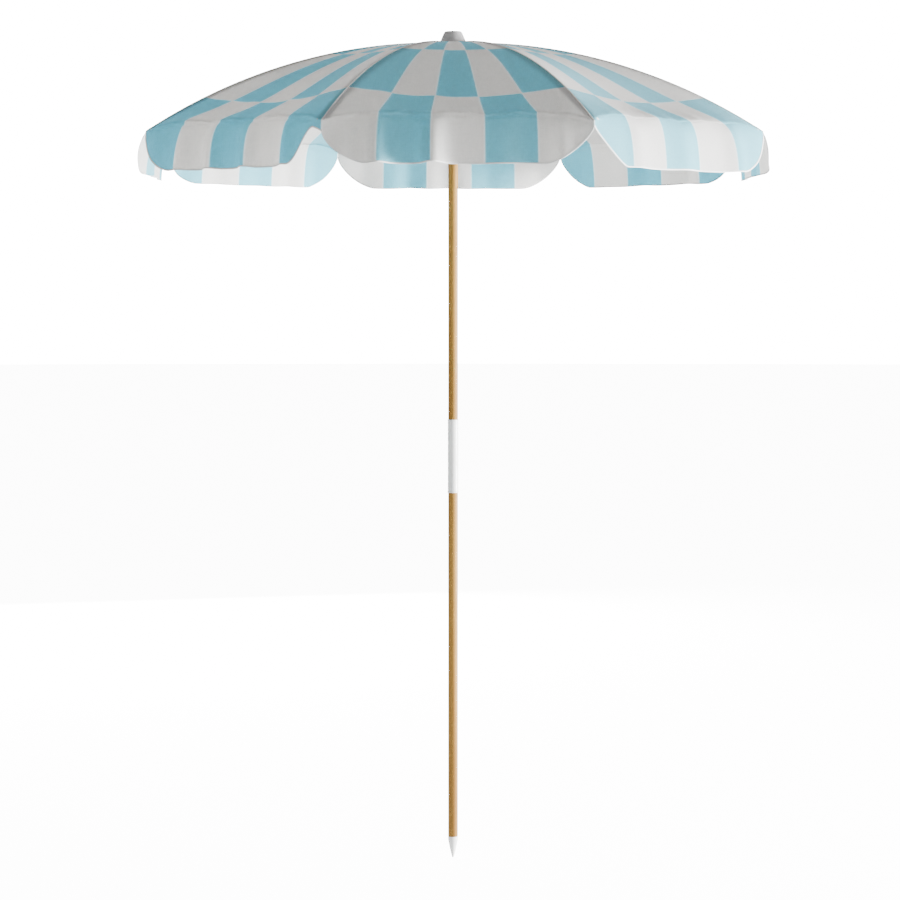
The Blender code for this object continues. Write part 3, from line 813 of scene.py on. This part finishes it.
@dataclass
class Crown:
    """The hub that the ribs hinge on, its wire, the cloth patch over it and the cap."""

    finishes: Finishes
    edge: float = 0.0005
    cap_shoulder: float = 0.0065
    patch_wave: float = 0.0004
    pieces: list[bpy.types.Object] = field(default_factory=list)

    def build(self) -> None:
        """Build every piece and put it on its body."""
        hub = softened("crown_hub", "crown_hub_moulding", self.finishes.plastic, Slot.PLASTIC, self.edge)
        wire = softened("crown_wire", "crown_hinge_wire", self.finishes.steel, Slot.STEEL, 0.0001)
        self.pieces += [hub, wire, self.build_patch(), self.build_cap()]
        for obj in self.pieces:
            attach(obj, "upper")

    def build_patch(self) -> bpy.types.Object:
        """A round cloth patch with a rolled edge, over the meeting of the panels."""
        box = Box.of("crown_patch")
        hole = 0.0053
        low, high = box.low.z, box.high.z
        outline = rounded([(hole, low), (box.radius, low), (box.radius, high), (hole, high)], 0.0004)
        bm = turned(outline, steps=48, ring=True)
        for vert in bm.verts:
            angle = math.atan2(vert.co.y, vert.co.x)
            share = math.hypot(vert.co.x, vert.co.y) / box.radius
            vert.co.z -= self.patch_wave * share**4 * (1.0 + math.cos(16 * angle)) / 2
        patch = add_piece("crown_patch_cloth", bm, self.finishes.tape, Slot.WHITE_CLOTH)
        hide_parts("crown_patch")
        return patch

    def build_cap(self) -> bpy.types.Object:
        """The moulded cap: a flat top with full round shoulders on a cone, and a foot rim."""
        box = Box.of("crown_cap")
        base = box.radius
        top = box.high.z
        foot = Box.of("crown_patch").high.z + 0.0005
        shoulder = 0.68 * base
        spigot = 0.0050
        skin = [
            (0.0, top),
            (shoulder - 0.002, top - 0.0002),
            (shoulder + 0.0015, top - 0.0060),
            (base - 0.0015, foot + 0.0045),
            (base, foot + 0.0030),
            (base, foot),
            (spigot, foot),
        ]
        outline = rounded(skin, self.cap_shoulder, steps=6)
        stem = [(spigot, box.low.z + 0.001), (spigot - 0.001, box.low.z), (0.0, box.low.z)]
        cap = add_piece("crown_cap_moulding", turned(outline + stem), self.finishes.plastic, Slot.PLASTIC)
        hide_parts("crown_cap")
        return cap


@dataclass
class Runner:
    """The sliding runner with its hinge wire, and the catch spring in the pole."""

    finishes: Finishes
    edge: float = 0.0006
    pieces: list[bpy.types.Object] = field(default_factory=list)

    def build(self) -> None:
        """Build every piece and put it on its body."""
        runner = softened("runner", "runner_moulding", self.finishes.plastic, Slot.PLASTIC, self.edge)
        wire = softened("runner_wire", "runner_hinge_wire", self.finishes.steel, Slot.STEEL, 0.0001)
        catch = softened("catch_spring", "catch_spring_strip", self.finishes.steel, Slot.STEEL, 0.0002)
        for obj, body in ((runner, "runner"), (wire, "runner"), (catch, "catch")):
            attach(obj, body)
            self.pieces.append(obj)


@dataclass(frozen=True)
class Fold:
    """A soft fold of a flap, running from the crease to the hem."""

    offset: float
    height: float
    width: float

    def at(self, across: float) -> float:
        """How far the fold stands out at this place across the panel."""
        return self.height * math.exp(-(((across - self.offset) / self.width) ** 2))


@dataclass(frozen=True)
class CanopyShape:
    """Form of the canopy, in a frame with x outward, y across and z up."""

    ribs: int
    top_z: float
    arc: float = 1.660
    rib_reach: float = 0.905
    inner: float = 0.0315
    rim: float = 0.880  # reach of the rim half way between two ribs
    rim_rise: float = 0.020  # rise of the rim there, over a straight line between the ribs
    rise_start: float = 0.45  # share of the ribs' reach where that rise starts
    droop: float = 0.030  # how far the cloth droops between two ribs, a little inside the rim
    seam_gap: float = 0.0004
    rib_drop: float = 0.0065  # rib's middle below the cloth's top face
    hinge: float = 0.028
    hinge_rise: float = 0.0053
    hinge_blend: float = 0.060
    cloth: float = 0.0008
    first_row: float = 0.347
    second_row: float = 0.680
    columns: int = 5
    ruffle: float = 0.0022
    corner: float = 0.120
    steepness: float = 1.35  # of a hollow corner's S
    ruffle_depth: float = 0.05  # how far down the flap the crease's ruffle shows
    tuck_start: float = 0.004
    tuck_at: float = 0.008
    tuck_width: float = 0.0038
    roll_length: float = 0.022
    roll_drop: float = 0.6  # fall of the rolled crease over how far it rolls outward
    fold_lift: float = 0.2  # rise of the hem over how far its folds stand out
    fold_reach: float = 0.35  # how far the folds run up into the panel
    flare_power: float = 1.45

    @classmethod
    def from_frame(cls, nodes: dict[str, bpy.types.Object]) -> "CanopyShape":
        """Read the number of ribs and the height of the cloth from the frame."""
        ribs = sum(name.startswith("panel_") for name in nodes)
        inner, arc = cls.inner, cls.arc
        edge = Box.of("panel_1").high.z
        return cls(ribs=ribs, top_z=edge + arc - math.sqrt(arc * arc - inner * inner))

    @property
    def span(self) -> float:
        """Angle from a panel's middle to its rib."""
        return math.pi / self.ribs

    def arc_z(self, reach: float, inset: float = 0.0) -> float:
        """Height of the canopy's arc at this reach, or of the arc this far inside it."""
        radius = self.arc - inset
        return self.top_z - self.arc + math.sqrt(radius * radius - reach * reach)

    def rib_z(self, reach: float, inset: float) -> float:
        """Height of a line this far under the arc, dipping to the crown ring."""
        dip = max(0.0, 1.0 - (reach - self.hinge) / self.hinge_blend)
        return self.arc_z(reach, inset) - self.hinge_rise * dip * dip

    def rim_reach(self, side: float) -> float:
        """Reach of a panel's rim, from -1 at one rib to 1 at the next: less between the ribs."""
        return self.rim + (self.rib_reach - self.rim) * side**4

    def bend(self, reach: float, side: float) -> float:
        """How far the cloth stands above a straight line between the ribs."""
        share = (reach - self.inner) / (self.rib_reach - self.inner)
        rise = max(0.0, (reach / self.rib_reach - self.rise_start) / (1.0 - self.rise_start))
        rim = self.rim_rise * rise**4 * (1.0 - side**6)
        return rim - self.droop * math.sin(math.pi * max(0.0, share) ** 3) * (1.0 - side * side)

    def cloth_point(self, reach: float, side: float) -> Vector:
        """A point of the panel's top face, from -1 at one rib to 1 at the next."""
        half = reach * math.sin(self.span) - self.seam_gap
        height = self.arc_z(reach) + self.bend(reach, side)
        return Vector((reach * math.cos(self.span), side * half, height))

    def height_by_rib(self, along: float, across: float) -> float:
        """Height of the cloth at a place given along a rib and across it."""
        out = along * math.cos(self.span) + abs(across) * math.sin(self.span)
        aside = along * math.sin(self.span) - abs(across) * math.cos(self.span)
        reach = out / math.cos(self.span)
        return self.arc_z(reach) + self.bend(reach, aside / (reach * math.sin(self.span)))

    def side_of(self, across: float) -> float:
        """Share of the way from the middle to the rib for a place on the rim."""
        side = 0.0
        for _ in range(4):
            half = self.rim_reach(side) * math.sin(self.span) - self.seam_gap
            side = max(-1.0, min(1.0, across / half))
        return side

    def row_at(self, distance: float) -> float:
        """Count of rows at this distance, whole at each seam."""
        if distance < self.first_row:
            return distance / self.first_row
        return 1.0 + (distance - self.first_row) / (self.second_row - self.first_row)


@dataclass(frozen=True)
class PanelDrape:
    """How one panel and its flap hang."""

    number: int
    shape: CanopyShape
    depth: float = 0.131
    flare: float = 0.014  # how far the hem stands out half way between the ribs
    left_flare: float = 0.026
    right_flare: float = 0.026
    roll: float = 0.008  # how far the cloth rolls over at the crease
    edge_hang: float = 0.5  # how far the flap's upright edges hang straight down in place of flaring
    left_join: float = 0.012  # how far below the rib the flap is sewn to the next one
    right_join: float = 0.012
    left_power: float = 1.65  # 2 is a round corner and 1 a straight one
    right_power: float = 1.65
    tuck: float = 0.0045  # how deep the cloth tucks in just under the crease
    folds: tuple[Fold, ...] = ()

    def fade(self, side: float) -> float:
        """Full in the middle and nothing at the ribs."""
        return max(0.0, 1.0 - side**4)

    def crease_wave(self, across: float) -> float:
        """Rise and fall of the gathered crease."""
        phase = 1.9 * self.number
        broad = math.sin(2 * math.pi * across / 0.168 + phase)
        fine = math.sin(2 * math.pi * across / 0.061 + 2.3 * phase)
        finest = math.sin(2 * math.pi * across / 0.027 + 3.1 * phase)
        return self.shape.ruffle * (broad + 0.55 * fine + 0.25 * finest)

    def fold_out(self, across: float) -> float:
        """How far the folds stand out at this place across the flap."""
        return sum(fold.at(across) for fold in self.folds)

    def flare_at(self, side: float) -> float:
        """How far the hem stands out at this place across the flap."""
        ends = self.left_flare if side < 0 else self.right_flare
        flare = self.flare + (ends - self.flare) * side * side
        return flare * (1.0 - self.edge_hang * side**10)

    def panel_point(self, reach: float, side: float) -> Vector:
        """A point of the panel's top face."""
        shape = self.shape
        share = (reach - shape.inner) / (shape.rim_reach(side) - shape.inner)
        point = shape.cloth_point(reach, side)
        near = max(0.0, (share - 0.80) / 0.20) ** 2
        soft = max(0.0, (share - 0.45) / 0.55) ** 3
        point.z += self.crease_wave(point.y) * self.fade(side) * near
        point.z += shape.fold_reach * self.fold_out(point.y) * self.fade(side) * soft * (1.0 - near)
        from_rim = (shape.rim_reach(side) - reach) / shape.roll_length
        point.z -= shape.roll_drop * self.roll * self.fade(side) * math.exp(-from_rim)
        return point

    def corner_curve(self, rise: float, power: float) -> float:
        """Share of the flap's depth left in its corner: round, or S-shaped when the power is under 1."""
        if power < 1.0:
            steep = min(1.0, self.shape.steepness * rise)
            return 1.0 - steep * steep * (3.0 - 2.0 * steep)
        return (1.0 - rise**power) ** (1.0 / power)

    def hem_depth(self, across: float) -> float:
        """Depth of the flap at this place across it."""
        left, right = (self.left_join, self.left_power), (self.right_join, self.right_power)
        join, power = left if across < 0 else right
        shape = self.shape
        half = shape.rib_reach * math.sin(shape.span) - shape.seam_gap
        rise = min(1.0, max(0.0, (abs(across) - half + shape.corner) / shape.corner))
        curve = self.corner_curve(rise, power)
        side = shape.side_of(across)
        dip = shape.cloth_point(shape.rim_reach(side), side).z - shape.cloth_point(shape.rim, 0.0).z
        return join + (self.depth + dip - join) * curve

    def flap_point(self, across: float, down: float) -> Vector:
        """A point of the flap's outer face.

        Args:
            across: Place along the rim, from its middle.
            down: Distance below the crease.

        Returns:
            The point.
        """
        shape = self.shape
        side = shape.side_of(across)
        fade = self.fade(side)
        top = shape.cloth_point(shape.rim_reach(side), side)
        share = min(1.0, down / self.depth)
        out = self.flare_at(side) * (1.0 - (1.0 - share) ** shape.flare_power)
        folded = self.fold_out(across) * fade * (1.0 - (1.0 - share) ** 4)
        uneven = 0.5 + 0.5 * math.sin(2 * math.pi * across / 0.093 + self.number)
        from_tuck = (down - shape.tuck_at * (0.6 + 0.8 * uneven)) / shape.tuck_width
        tuck = self.tuck * (0.45 + 0.55 * uneven) * math.exp(-from_tuck * from_tuck) * fade
        start = min(1.0, down / shape.tuck_start)
        out += folded - tuck * start + self.roll * fade * (1.0 - math.exp(-down / shape.roll_length))
        wave = self.crease_wave(across) * fade * max(0.0, 1.0 - down / shape.ruffle_depth) ** 2
        spread = 1.0 + 0.6 * out / top.x
        lift = wave + shape.fold_lift * folded * share - shape.roll_drop * self.roll * fade
        return Vector((top.x + out, across * spread, top.z - down + lift))


def panel_drapes(shape: CanopyShape) -> list[PanelDrape]:
    """Each panel's own drape, from panel 1 round to the last."""
    front = (
        Fold(-0.290, 0.012, 0.024),
        Fold(-0.200, 0.025, 0.026),
        Fold(-0.062, 0.033, 0.028),
        Fold(0.120, 0.006, 0.045),
        Fold(0.262, 0.011, 0.025),
    )
    right = (Fold(-0.180, 0.009, 0.038), Fold(0.010, 0.009, 0.040), Fold(0.215, 0.013, 0.036))
    left = (
        Fold(-0.190, 0.014, 0.030),
        Fold(-0.075, 0.019, 0.026),
        Fold(0.060, 0.021, 0.026),
        Fold(0.215, 0.022, 0.028),
    )
    own = {
        1: {"folds": front, "roll": 0.004, "left_join": 0.022, "left_power": 1.8, "right_power": 1.5},
        2: {
            "folds": right,
            "roll": 0.015,
            "tuck": 0.0006,
            "left_power": 1.3,
            "right_power": 1.8,
            "right_flare": 0.034,
            "edge_hang": 0.85,
        },
        3: {"left_flare": 0.036, "edge_hang": 0.0},
        7: {"right_flare": 0.046, "edge_hang": 0.0},
        8: {
            "folds": left,
            "left_power": 1.8,
            "left_flare": 0.040,
            "right_join": 0.026,
            "right_power": 0.0,
            "edge_hang": 0.85,
        },
    }
    drapes = []
    for number in range(1, shape.ribs + 1):
        swing = [math.sin(2.4 * number + 1.7 * k) for k in range(5)]
        common = tuple(
            Fold(-0.27 + 0.135 * k + 0.018 * swing[k], 0.011 + 0.006 * swing[-1 - k], 0.034) for k in range(5)
        )
        drapes.append(PanelDrape(number=number, shape=shape, **{"folds": common, **own.get(number, {})}))
    return drapes


@dataclass
class Canopy:
    """The checked panels, their flaps and the white binding round the flaps."""

    finishes: Finishes
    shape: CanopyShape
    panel_columns: int = 60
    panel_rows: int = 64
    flap_rows: int = 26
    flap_columns: int = 84
    binding: float = 0.0038
    binding_thickness: float = 0.0015
    binding_lap: float = 0.0006  # how far the binding stands past the hem
    folded_width: float = 0.19
    panel_cut: tuple[float, float] = (0.693, 0.870)
    panel_area: float = 0.300
    flap_cut: tuple[float, float] = (0.700, 0.168)
    flap_area: float = 0.104
    pieces: list[bpy.types.Object] = field(default_factory=list)

    def build(self) -> None:
        """Build every panel with its flap and binding."""
        for drape in panel_drapes(self.shape):
            azimuth = (drape.number - 1) * 360.0 / self.shape.ribs
            turn = azimuth_matrix(azimuth)
            panel = self.build_panel(drape, turn)
            binding = self.build_binding(drape, turn)
            flap = self.build_flap(drape, turn)
            for obj, body, joint in (
                (panel, "panel", "fold"),
                (flap, "valance", "hang"),
                (binding, "valance", "hang"),
            ):
                name = f"{body}_{drape.number}"
                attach(obj, name)
                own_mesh(obj)
                self.pieces.append(obj)

    def build_panel(self, drape: PanelDrape, turn: Matrix) -> bpy.types.Object:
        """A panel between two ribs, from the crown to the crease."""
        shape = self.shape
        shift = drape.number - 1

        def at(u: float, v: float) -> tuple[float, float]:
            side = 2.0 * v - 1.0
            return shape.inner + (shape.rim_reach(side) - shape.inner) * u, side

        def point(u: float, v: float) -> Vector:
            return drape.panel_point(*at(u, v))

        def check(u: float, v: float) -> tuple[float, float]:
            reach, side = at(u, v)
            distance = reach * math.cos(shape.span)
            return shape.columns * v + shift, shape.row_at(distance)

        def metric(u: float, v: float) -> tuple[float, float]:
            reach, side = at(u, v)
            return side * reach * math.sin(shape.span), reach

        bm = lay_grid(
            self.panel_columns, self.panel_rows, point, {ChartName.CHECK: check, ChartName.METRIC: metric}
        )
        panel = add_piece(
            f"panel_{drape.number}_cloth", bm, self.finishes.check, Slot.AQUA_CLOTH, turn, sharp=180.0
        )
        thicken(panel, shape.cloth, -1.0, even=True)
        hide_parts(f"panel_{drape.number}")
        return panel

    def across_at(self, v: float) -> float:
        """Place along the rim for a share across the flap, closer together near its corners."""
        side = math.sin(math.pi * (v - 0.5))
        return side * (self.shape.rim_reach(side) * math.sin(self.shape.span) - self.shape.seam_gap)

    def build_flap(self, drape: PanelDrape, turn: Matrix) -> bpy.types.Object:
        """The flap below a panel's crease."""
        shape = self.shape
        shift = drape.number - 1

        def at(u: float, v: float) -> tuple[float, float]:
            across = self.across_at(v)
            return across, drape.hem_depth(across) * u**1.5

        def point(u: float, v: float) -> Vector:
            return drape.flap_point(*at(u, v))

        def check(u: float, v: float) -> tuple[float, float]:
            across, down = at(u, v)
            side = shape.side_of(across)
            distance = shape.rim_reach(side) * math.cos(shape.span)
            return shape.columns * (side + 1.0) / 2.0 + shift, shape.row_at(distance + down)

        def metric(u: float, v: float) -> tuple[float, float]:
            across, down = at(u, v)
            return across, shape.rim + 1.2 * down

        bm = lay_grid(
            self.flap_columns, self.flap_rows, point, {ChartName.CHECK: check, ChartName.METRIC: metric}
        )
        name = f"valance_{drape.number}"
        flap = add_piece(f"{name}_cloth", bm, self.finishes.check, Slot.AQUA_CLOTH, turn, sharp=180.0)
        thicken(flap, shape.cloth, -1.0, even=True)
        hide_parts(name)
        return flap

    def build_binding(self, drape: PanelDrape, turn: Matrix) -> bpy.types.Object:
        """White tape folded over the flap's hem."""
        small = 1.0 / (4.0 * self.flap_columns)

        def hem(v: float) -> Vector:
            across = self.across_at(v)
            return Vector((across, drape.hem_depth(across)))

        def at(u: float, v: float) -> Vector:
            before, after = hem(max(0.0, v - small)), hem(min(1.0, v + small))
            along = (after - before).normalized()
            inward = Vector((along.y, -along.x))
            return hem(v) + inward * (self.binding * u - self.binding_lap)

        def point(u: float, v: float) -> Vector:
            across, down = at(u, v)
            return drape.flap_point(across, max(0.0, down))

        def metric(u: float, v: float) -> tuple[float, float]:
            return self.binding * u, self.across_at(v) * 1.25

        bm = lay_grid(self.flap_columns * 2, 3, point, {ChartName.METRIC: metric})
        name = f"valance_{drape.number}_binding"
        binding = add_piece(name, bm, self.finishes.tape, Slot.WHITE_CLOTH, turn, sharp=60.0)
        thicken(binding, self.binding_thickness, 0.0, even=True)
        return binding


@dataclass
class RibSet:
    """The ribs with their tips and clips, the stretchers, and the tape and welt along each seam."""

    finishes: Finishes
    shape: CanopyShape
    edge: float = 0.0004
    rod: float = 0.0025
    rod_start: float = 0.0302  # reach where the rod leaves its eye
    rod_end: float = 0.886
    eye_hole: float = 0.0015
    eye: float = 0.0031
    eye_half: float = 0.0019
    tape_half: float = 0.018
    tape_start: float = 0.036
    tape_end: float = 0.896
    tape_length: float = 0.90
    tape_taper: float = 0.36  # half the tape's width over its distance from the pole, near the crown
    tape_thickness: float = 0.0006
    tape_below: float = 0.0012
    welt: float = 0.0015
    welt_rise: float = 0.0002
    welt_end: float = 0.9048
    tip_wall: float = 0.0013
    tip_gap: float = 0.0003  # between the rod and its tip
    pieces: list[bpy.types.Object] = field(default_factory=list)

    def build(self) -> None:
        """Build every rib with what goes with it."""
        for k in range(1, self.shape.ribs + 1):
            turn = azimuth_matrix((k - 0.5) * 360.0 / self.shape.ribs)
            rib = self.build_rod(k, turn)
            steel = self.finishes.steel
            clip = softened(f"rib_clip_{k}", f"rib_clip_{k}_pressing", steel, Slot.STEEL, self.edge)
            stretcher = softened(f"stretcher_{k}", f"stretcher_{k}_bar", steel, Slot.STEEL, self.edge)
            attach(stretcher, f"stretcher_{k}")
            self.pieces.append(stretcher)
            tip, tape, welt = self.build_tip(k, turn), self.build_tape(k, turn), self.build_welt(k, turn)
            for obj in (rib, clip, tip, tape, welt):
                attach(obj, f"rib_{k}")
                self.pieces.append(obj)

    @property
    def centre(self) -> Vector:
        """Middle of the canopy's arc."""
        return Vector((0.0, 0.0, self.shape.top_z - self.shape.arc))

    def dipped(self, bm: bmesh.types.BMesh) -> bmesh.types.BMesh:
        """Lower a rod's inner end to the crown ring."""
        for vert in bm.verts:
            dip = max(0.0, 1.0 - (vert.co.x - self.shape.hinge) / self.shape.hinge_blend)
            vert.co.z -= self.shape.hinge_rise * dip * dip
        return bm

    def build_rod(self, k: int, turn: Matrix) -> bpy.types.Object:
        """A round spring-steel rod with a flat eye round the crown wire."""
        shape = self.shape
        arc = shape.arc - shape.rib_drop
        box = Box.of(f"rib_{k}")
        reach = max(box.high.to_2d().length, box.low.to_2d().length)
        bm = swept_arc(self.centre, arc, self.rod, self.rod_start, min(reach, self.rod_end), 48)
        self.dipped(bm)
        hole, rim, half = self.eye_hole, self.eye, self.eye_half
        eye = turned([(hole, -half), (rim, -half), (rim, half), (hole, half)], 24, ring=True)
        place = Matrix.Translation((shape.hinge, 0.0, shape.rib_z(shape.hinge, shape.rib_drop)))
        bmesh.ops.transform(eye, matrix=place @ Matrix.Rotation(math.radians(90), 4, "X"), verts=eye.verts)
        scrap = bpy.data.meshes.new("eye")
        eye.to_mesh(scrap)
        eye.free()
        bm.from_mesh(scrap)
        bpy.data.meshes.remove(scrap)
        rib = add_piece(f"rib_{k}_rod", bm, self.finishes.steel, Slot.STEEL, turn)
        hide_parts(f"rib_{k}")
        return rib

    def build_tip(self, k: int, turn: Matrix) -> bpy.types.Object:
        """A moulded cap over the rib's end, with a bead round its mouth."""
        outer, inner = self.rod + self.tip_wall, self.rod + self.tip_gap
        shell = [
            (0.0, 0.0085),
            (0.55 * outer, 0.0074),
            (outer, 0.0045),
            (outer - 0.0004, -0.0070),
            (outer, -0.0085),
            (outer, -0.0120),
            (inner, -0.0120),
            (inner, 0.0010),
            (0.0, 0.0010),
        ]
        shape, reach = self.shape, self.rod_end
        lean = math.asin(reach / (shape.arc - shape.rib_drop))
        place = Matrix.Translation((reach, 0.0, shape.rib_z(reach, shape.rib_drop)))
        lay = place @ Matrix.Rotation(math.radians(90) + lean, 4, "Y")
        bm = turned(rounded(shell, 0.0012), steps=24)
        tip = add_piece(f"rib_tip_{k}_cap", bm, self.finishes.plastic, Slot.PLASTIC, turn @ lay)
        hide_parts(f"rib_tip_{k}")
        return tip

    def build_tape(self, k: int, turn: Matrix) -> bpy.types.Object:
        """White tape sewn under the seam, over the rib."""
        shape = self.shape

        def at(u: float, v: float) -> tuple[float, float]:
            along = self.tape_start + (self.tape_end - self.tape_start) * u
            return along, (2.0 * v - 1.0) * min(self.tape_half, self.tape_taper * along)

        def point(u: float, v: float) -> Vector:
            along, across = at(u, v)
            lean = self.tape_thickness * abs(across) / self.tape_half
            return Vector((along, across, shape.height_by_rib(along, across) - self.tape_below - lean))

        def metric(u: float, v: float) -> tuple[float, float]:
            along, across = at(u, v)
            return across, along

        bm = lay_grid(10, 60, point, {ChartName.METRIC: metric})
        tape = add_piece(f"seam_tape_{k}", bm, self.finishes.tape, Slot.WHITE_CLOTH, turn, sharp=180.0)
        thicken(tape, self.tape_thickness, -1.0)
        return tape

    def build_welt(self, k: int, turn: Matrix) -> bpy.types.Object:
        """The raised white welt of the seam, on top of the cloth."""
        arc = self.shape.arc + self.welt_rise
        bm = swept_arc(self.centre, arc, self.welt, self.tape_start, self.welt_end, 60)
        return add_piece(f"seam_welt_{k}", bm, self.finishes.tape, Slot.WHITE_CLOTH, turn)


@dataclass
class Studio:
    """The floor, the lights and the camera."""

    eye_height: float = 1.607
    distance: float = 8.21
    azimuth: float = -0.8
    pitch: float = 3.065
    aside: float = -0.0085
    lens: float = 115.7
    floor_radius: float = 60.0
    floor_glow: float = 12.0
    soft_light: float = 0.66
    backdrop: float = 20.0

    def build(self) -> None:
        """Set the stage."""
        self.build_camera()
        self.build_floor()
        self.build_world()
        self.build_lamp("key", 84.0, -6.0, 7.0, 2.4, 4500.0)
        self.build_lamp("back", 195.0, 6.0, 7.0, 4.0, 1750.0)

    def build_camera(self) -> None:
        """A long lens at the height of the lower canopy."""
        data = bpy.data.cameras.new("camera")
        data.lens = self.lens
        data.sensor_width = 36.0
        data.clip_end = 200.0
        camera = bpy.data.objects.new("camera", data)
        bpy.context.scene.collection.objects.link(camera)
        turn = math.radians(self.azimuth)
        back = Vector((math.sin(turn), -math.cos(turn), 0.0))
        right = Vector((math.cos(turn), math.sin(turn), 0.0))
        camera.location = back * self.distance + right * self.aside + Vector((0.0, 0.0, self.eye_height))
        camera.rotation_euler = (math.radians(90.0 - self.pitch), 0.0, turn)
        bpy.context.scene.camera = camera

    def build_floor(self) -> None:
        """A plain pale floor at the ground tip."""
        bm = bmesh.new()
        bmesh.ops.create_circle(bm, cap_ends=True, segments=96, radius=self.floor_radius)
        mesh = bpy.data.meshes.new("floor")
        bm.to_mesh(mesh)
        bm.free()
        graph = Graph("pale_floor")
        graph.settle(Roughness=0.9, Specular_IOR_Level=0.1)
        graph.shader.inputs["Base Color"].default_value = (0.86, 0.86, 0.86, 1.0)
        glow, both = graph.node("ShaderNodeEmission"), graph.node("ShaderNodeAddShader")
        seen = graph.node("ShaderNodeLightPath").outputs["Is Camera Ray"]
        graph.join(graph.math("MULTIPLY", seen, self.floor_glow), glow.inputs["Strength"])
        graph.join(graph.shader.outputs["BSDF"], both.inputs[0])
        graph.join(glow.outputs["Emission"], both.inputs[1])
        graph.surface(both.outputs["Shader"])
        mesh.materials.append(graph.material)
        floor = bpy.data.objects.new("floor", mesh)
        bpy.context.scene.collection.objects.link(floor)

    def build_world(self) -> None:
        """Even light from all round, brighter where the camera sees it."""
        world = bpy.data.worlds.new("studio")
        bpy.context.scene.world = world
        world.use_nodes = True
        nodes, links = world.node_tree.nodes, world.node_tree.links
        nodes.clear()
        path, mixed = nodes.new("ShaderNodeLightPath"), nodes.new("ShaderNodeMixShader")
        links.new(path.outputs["Is Camera Ray"], mixed.inputs["Fac"])
        for slot, strength in ((1, self.soft_light), (2, self.backdrop)):
            light = nodes.new("ShaderNodeBackground")
            light.inputs["Color"].default_value = (1.0, 1.0, 1.0, 1.0)
            light.inputs["Strength"].default_value = strength
            links.new(light.outputs["Background"], mixed.inputs[slot])
        output = nodes.new("ShaderNodeOutputWorld")
        links.new(mixed.outputs["Shader"], output.inputs["Surface"])

    def build_lamp(
        self, name: str, azimuth: float, elevation: float, distance: float, size: float, power: float
    ) -> None:
        """Add a square lamp aimed at the canopy.

        Args:
            name: Name of the lamp.
            azimuth: Where it stands round the umbrella, in degrees.
            elevation: Its angle above the canopy, in degrees.
            distance: Its distance from the canopy's middle.
            size: Length of its side.
            power: Its power in watts.
        """
        target = Vector((0.0, 0.0, 1.6))
        around, up = math.radians(azimuth), math.radians(elevation)
        back = Vector((math.sin(around) * math.cos(up), -math.cos(around) * math.cos(up), math.sin(up)))
        data = bpy.data.lights.new(name, "AREA")
        data.shape = "SQUARE"
        data.size = size
        data.energy = power
        lamp = bpy.data.objects.new(name, data)
        lamp.location = target + back * distance
        lamp.rotation_euler = (-back).to_track_quat("-Z", "Y").to_euler()
        bpy.context.scene.collection.objects.link(lamp)


def clear_scene() -> None:
    """Remove whatever the start-up scene holds."""
    for obj in list(bpy.data.objects):
        bpy.data.objects.remove(obj, do_unlink=True)


def main() -> None:
    """Build the umbrella's looks round its frame."""
    logging.basicConfig(level=logging.INFO, format="%(name)s: %(message)s")
    clear_scene()
    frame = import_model()
    Studio().build()
    finishes = Finishes.made()
    shape = CanopyShape.from_frame(frame["nodes"])
    parts = [
        Pole(finishes),
        Crown(finishes),
        Runner(finishes),
        RibSet(finishes, shape),
        Canopy(finishes, shape),
    ]
    for part in parts:
        part.build()
        for obj in part.pieces:
            LOG.info("%s: %s, %d faces", type(part).__name__, obj.name, len(obj.data.polygons))


if __name__ == "__main__":
    main()
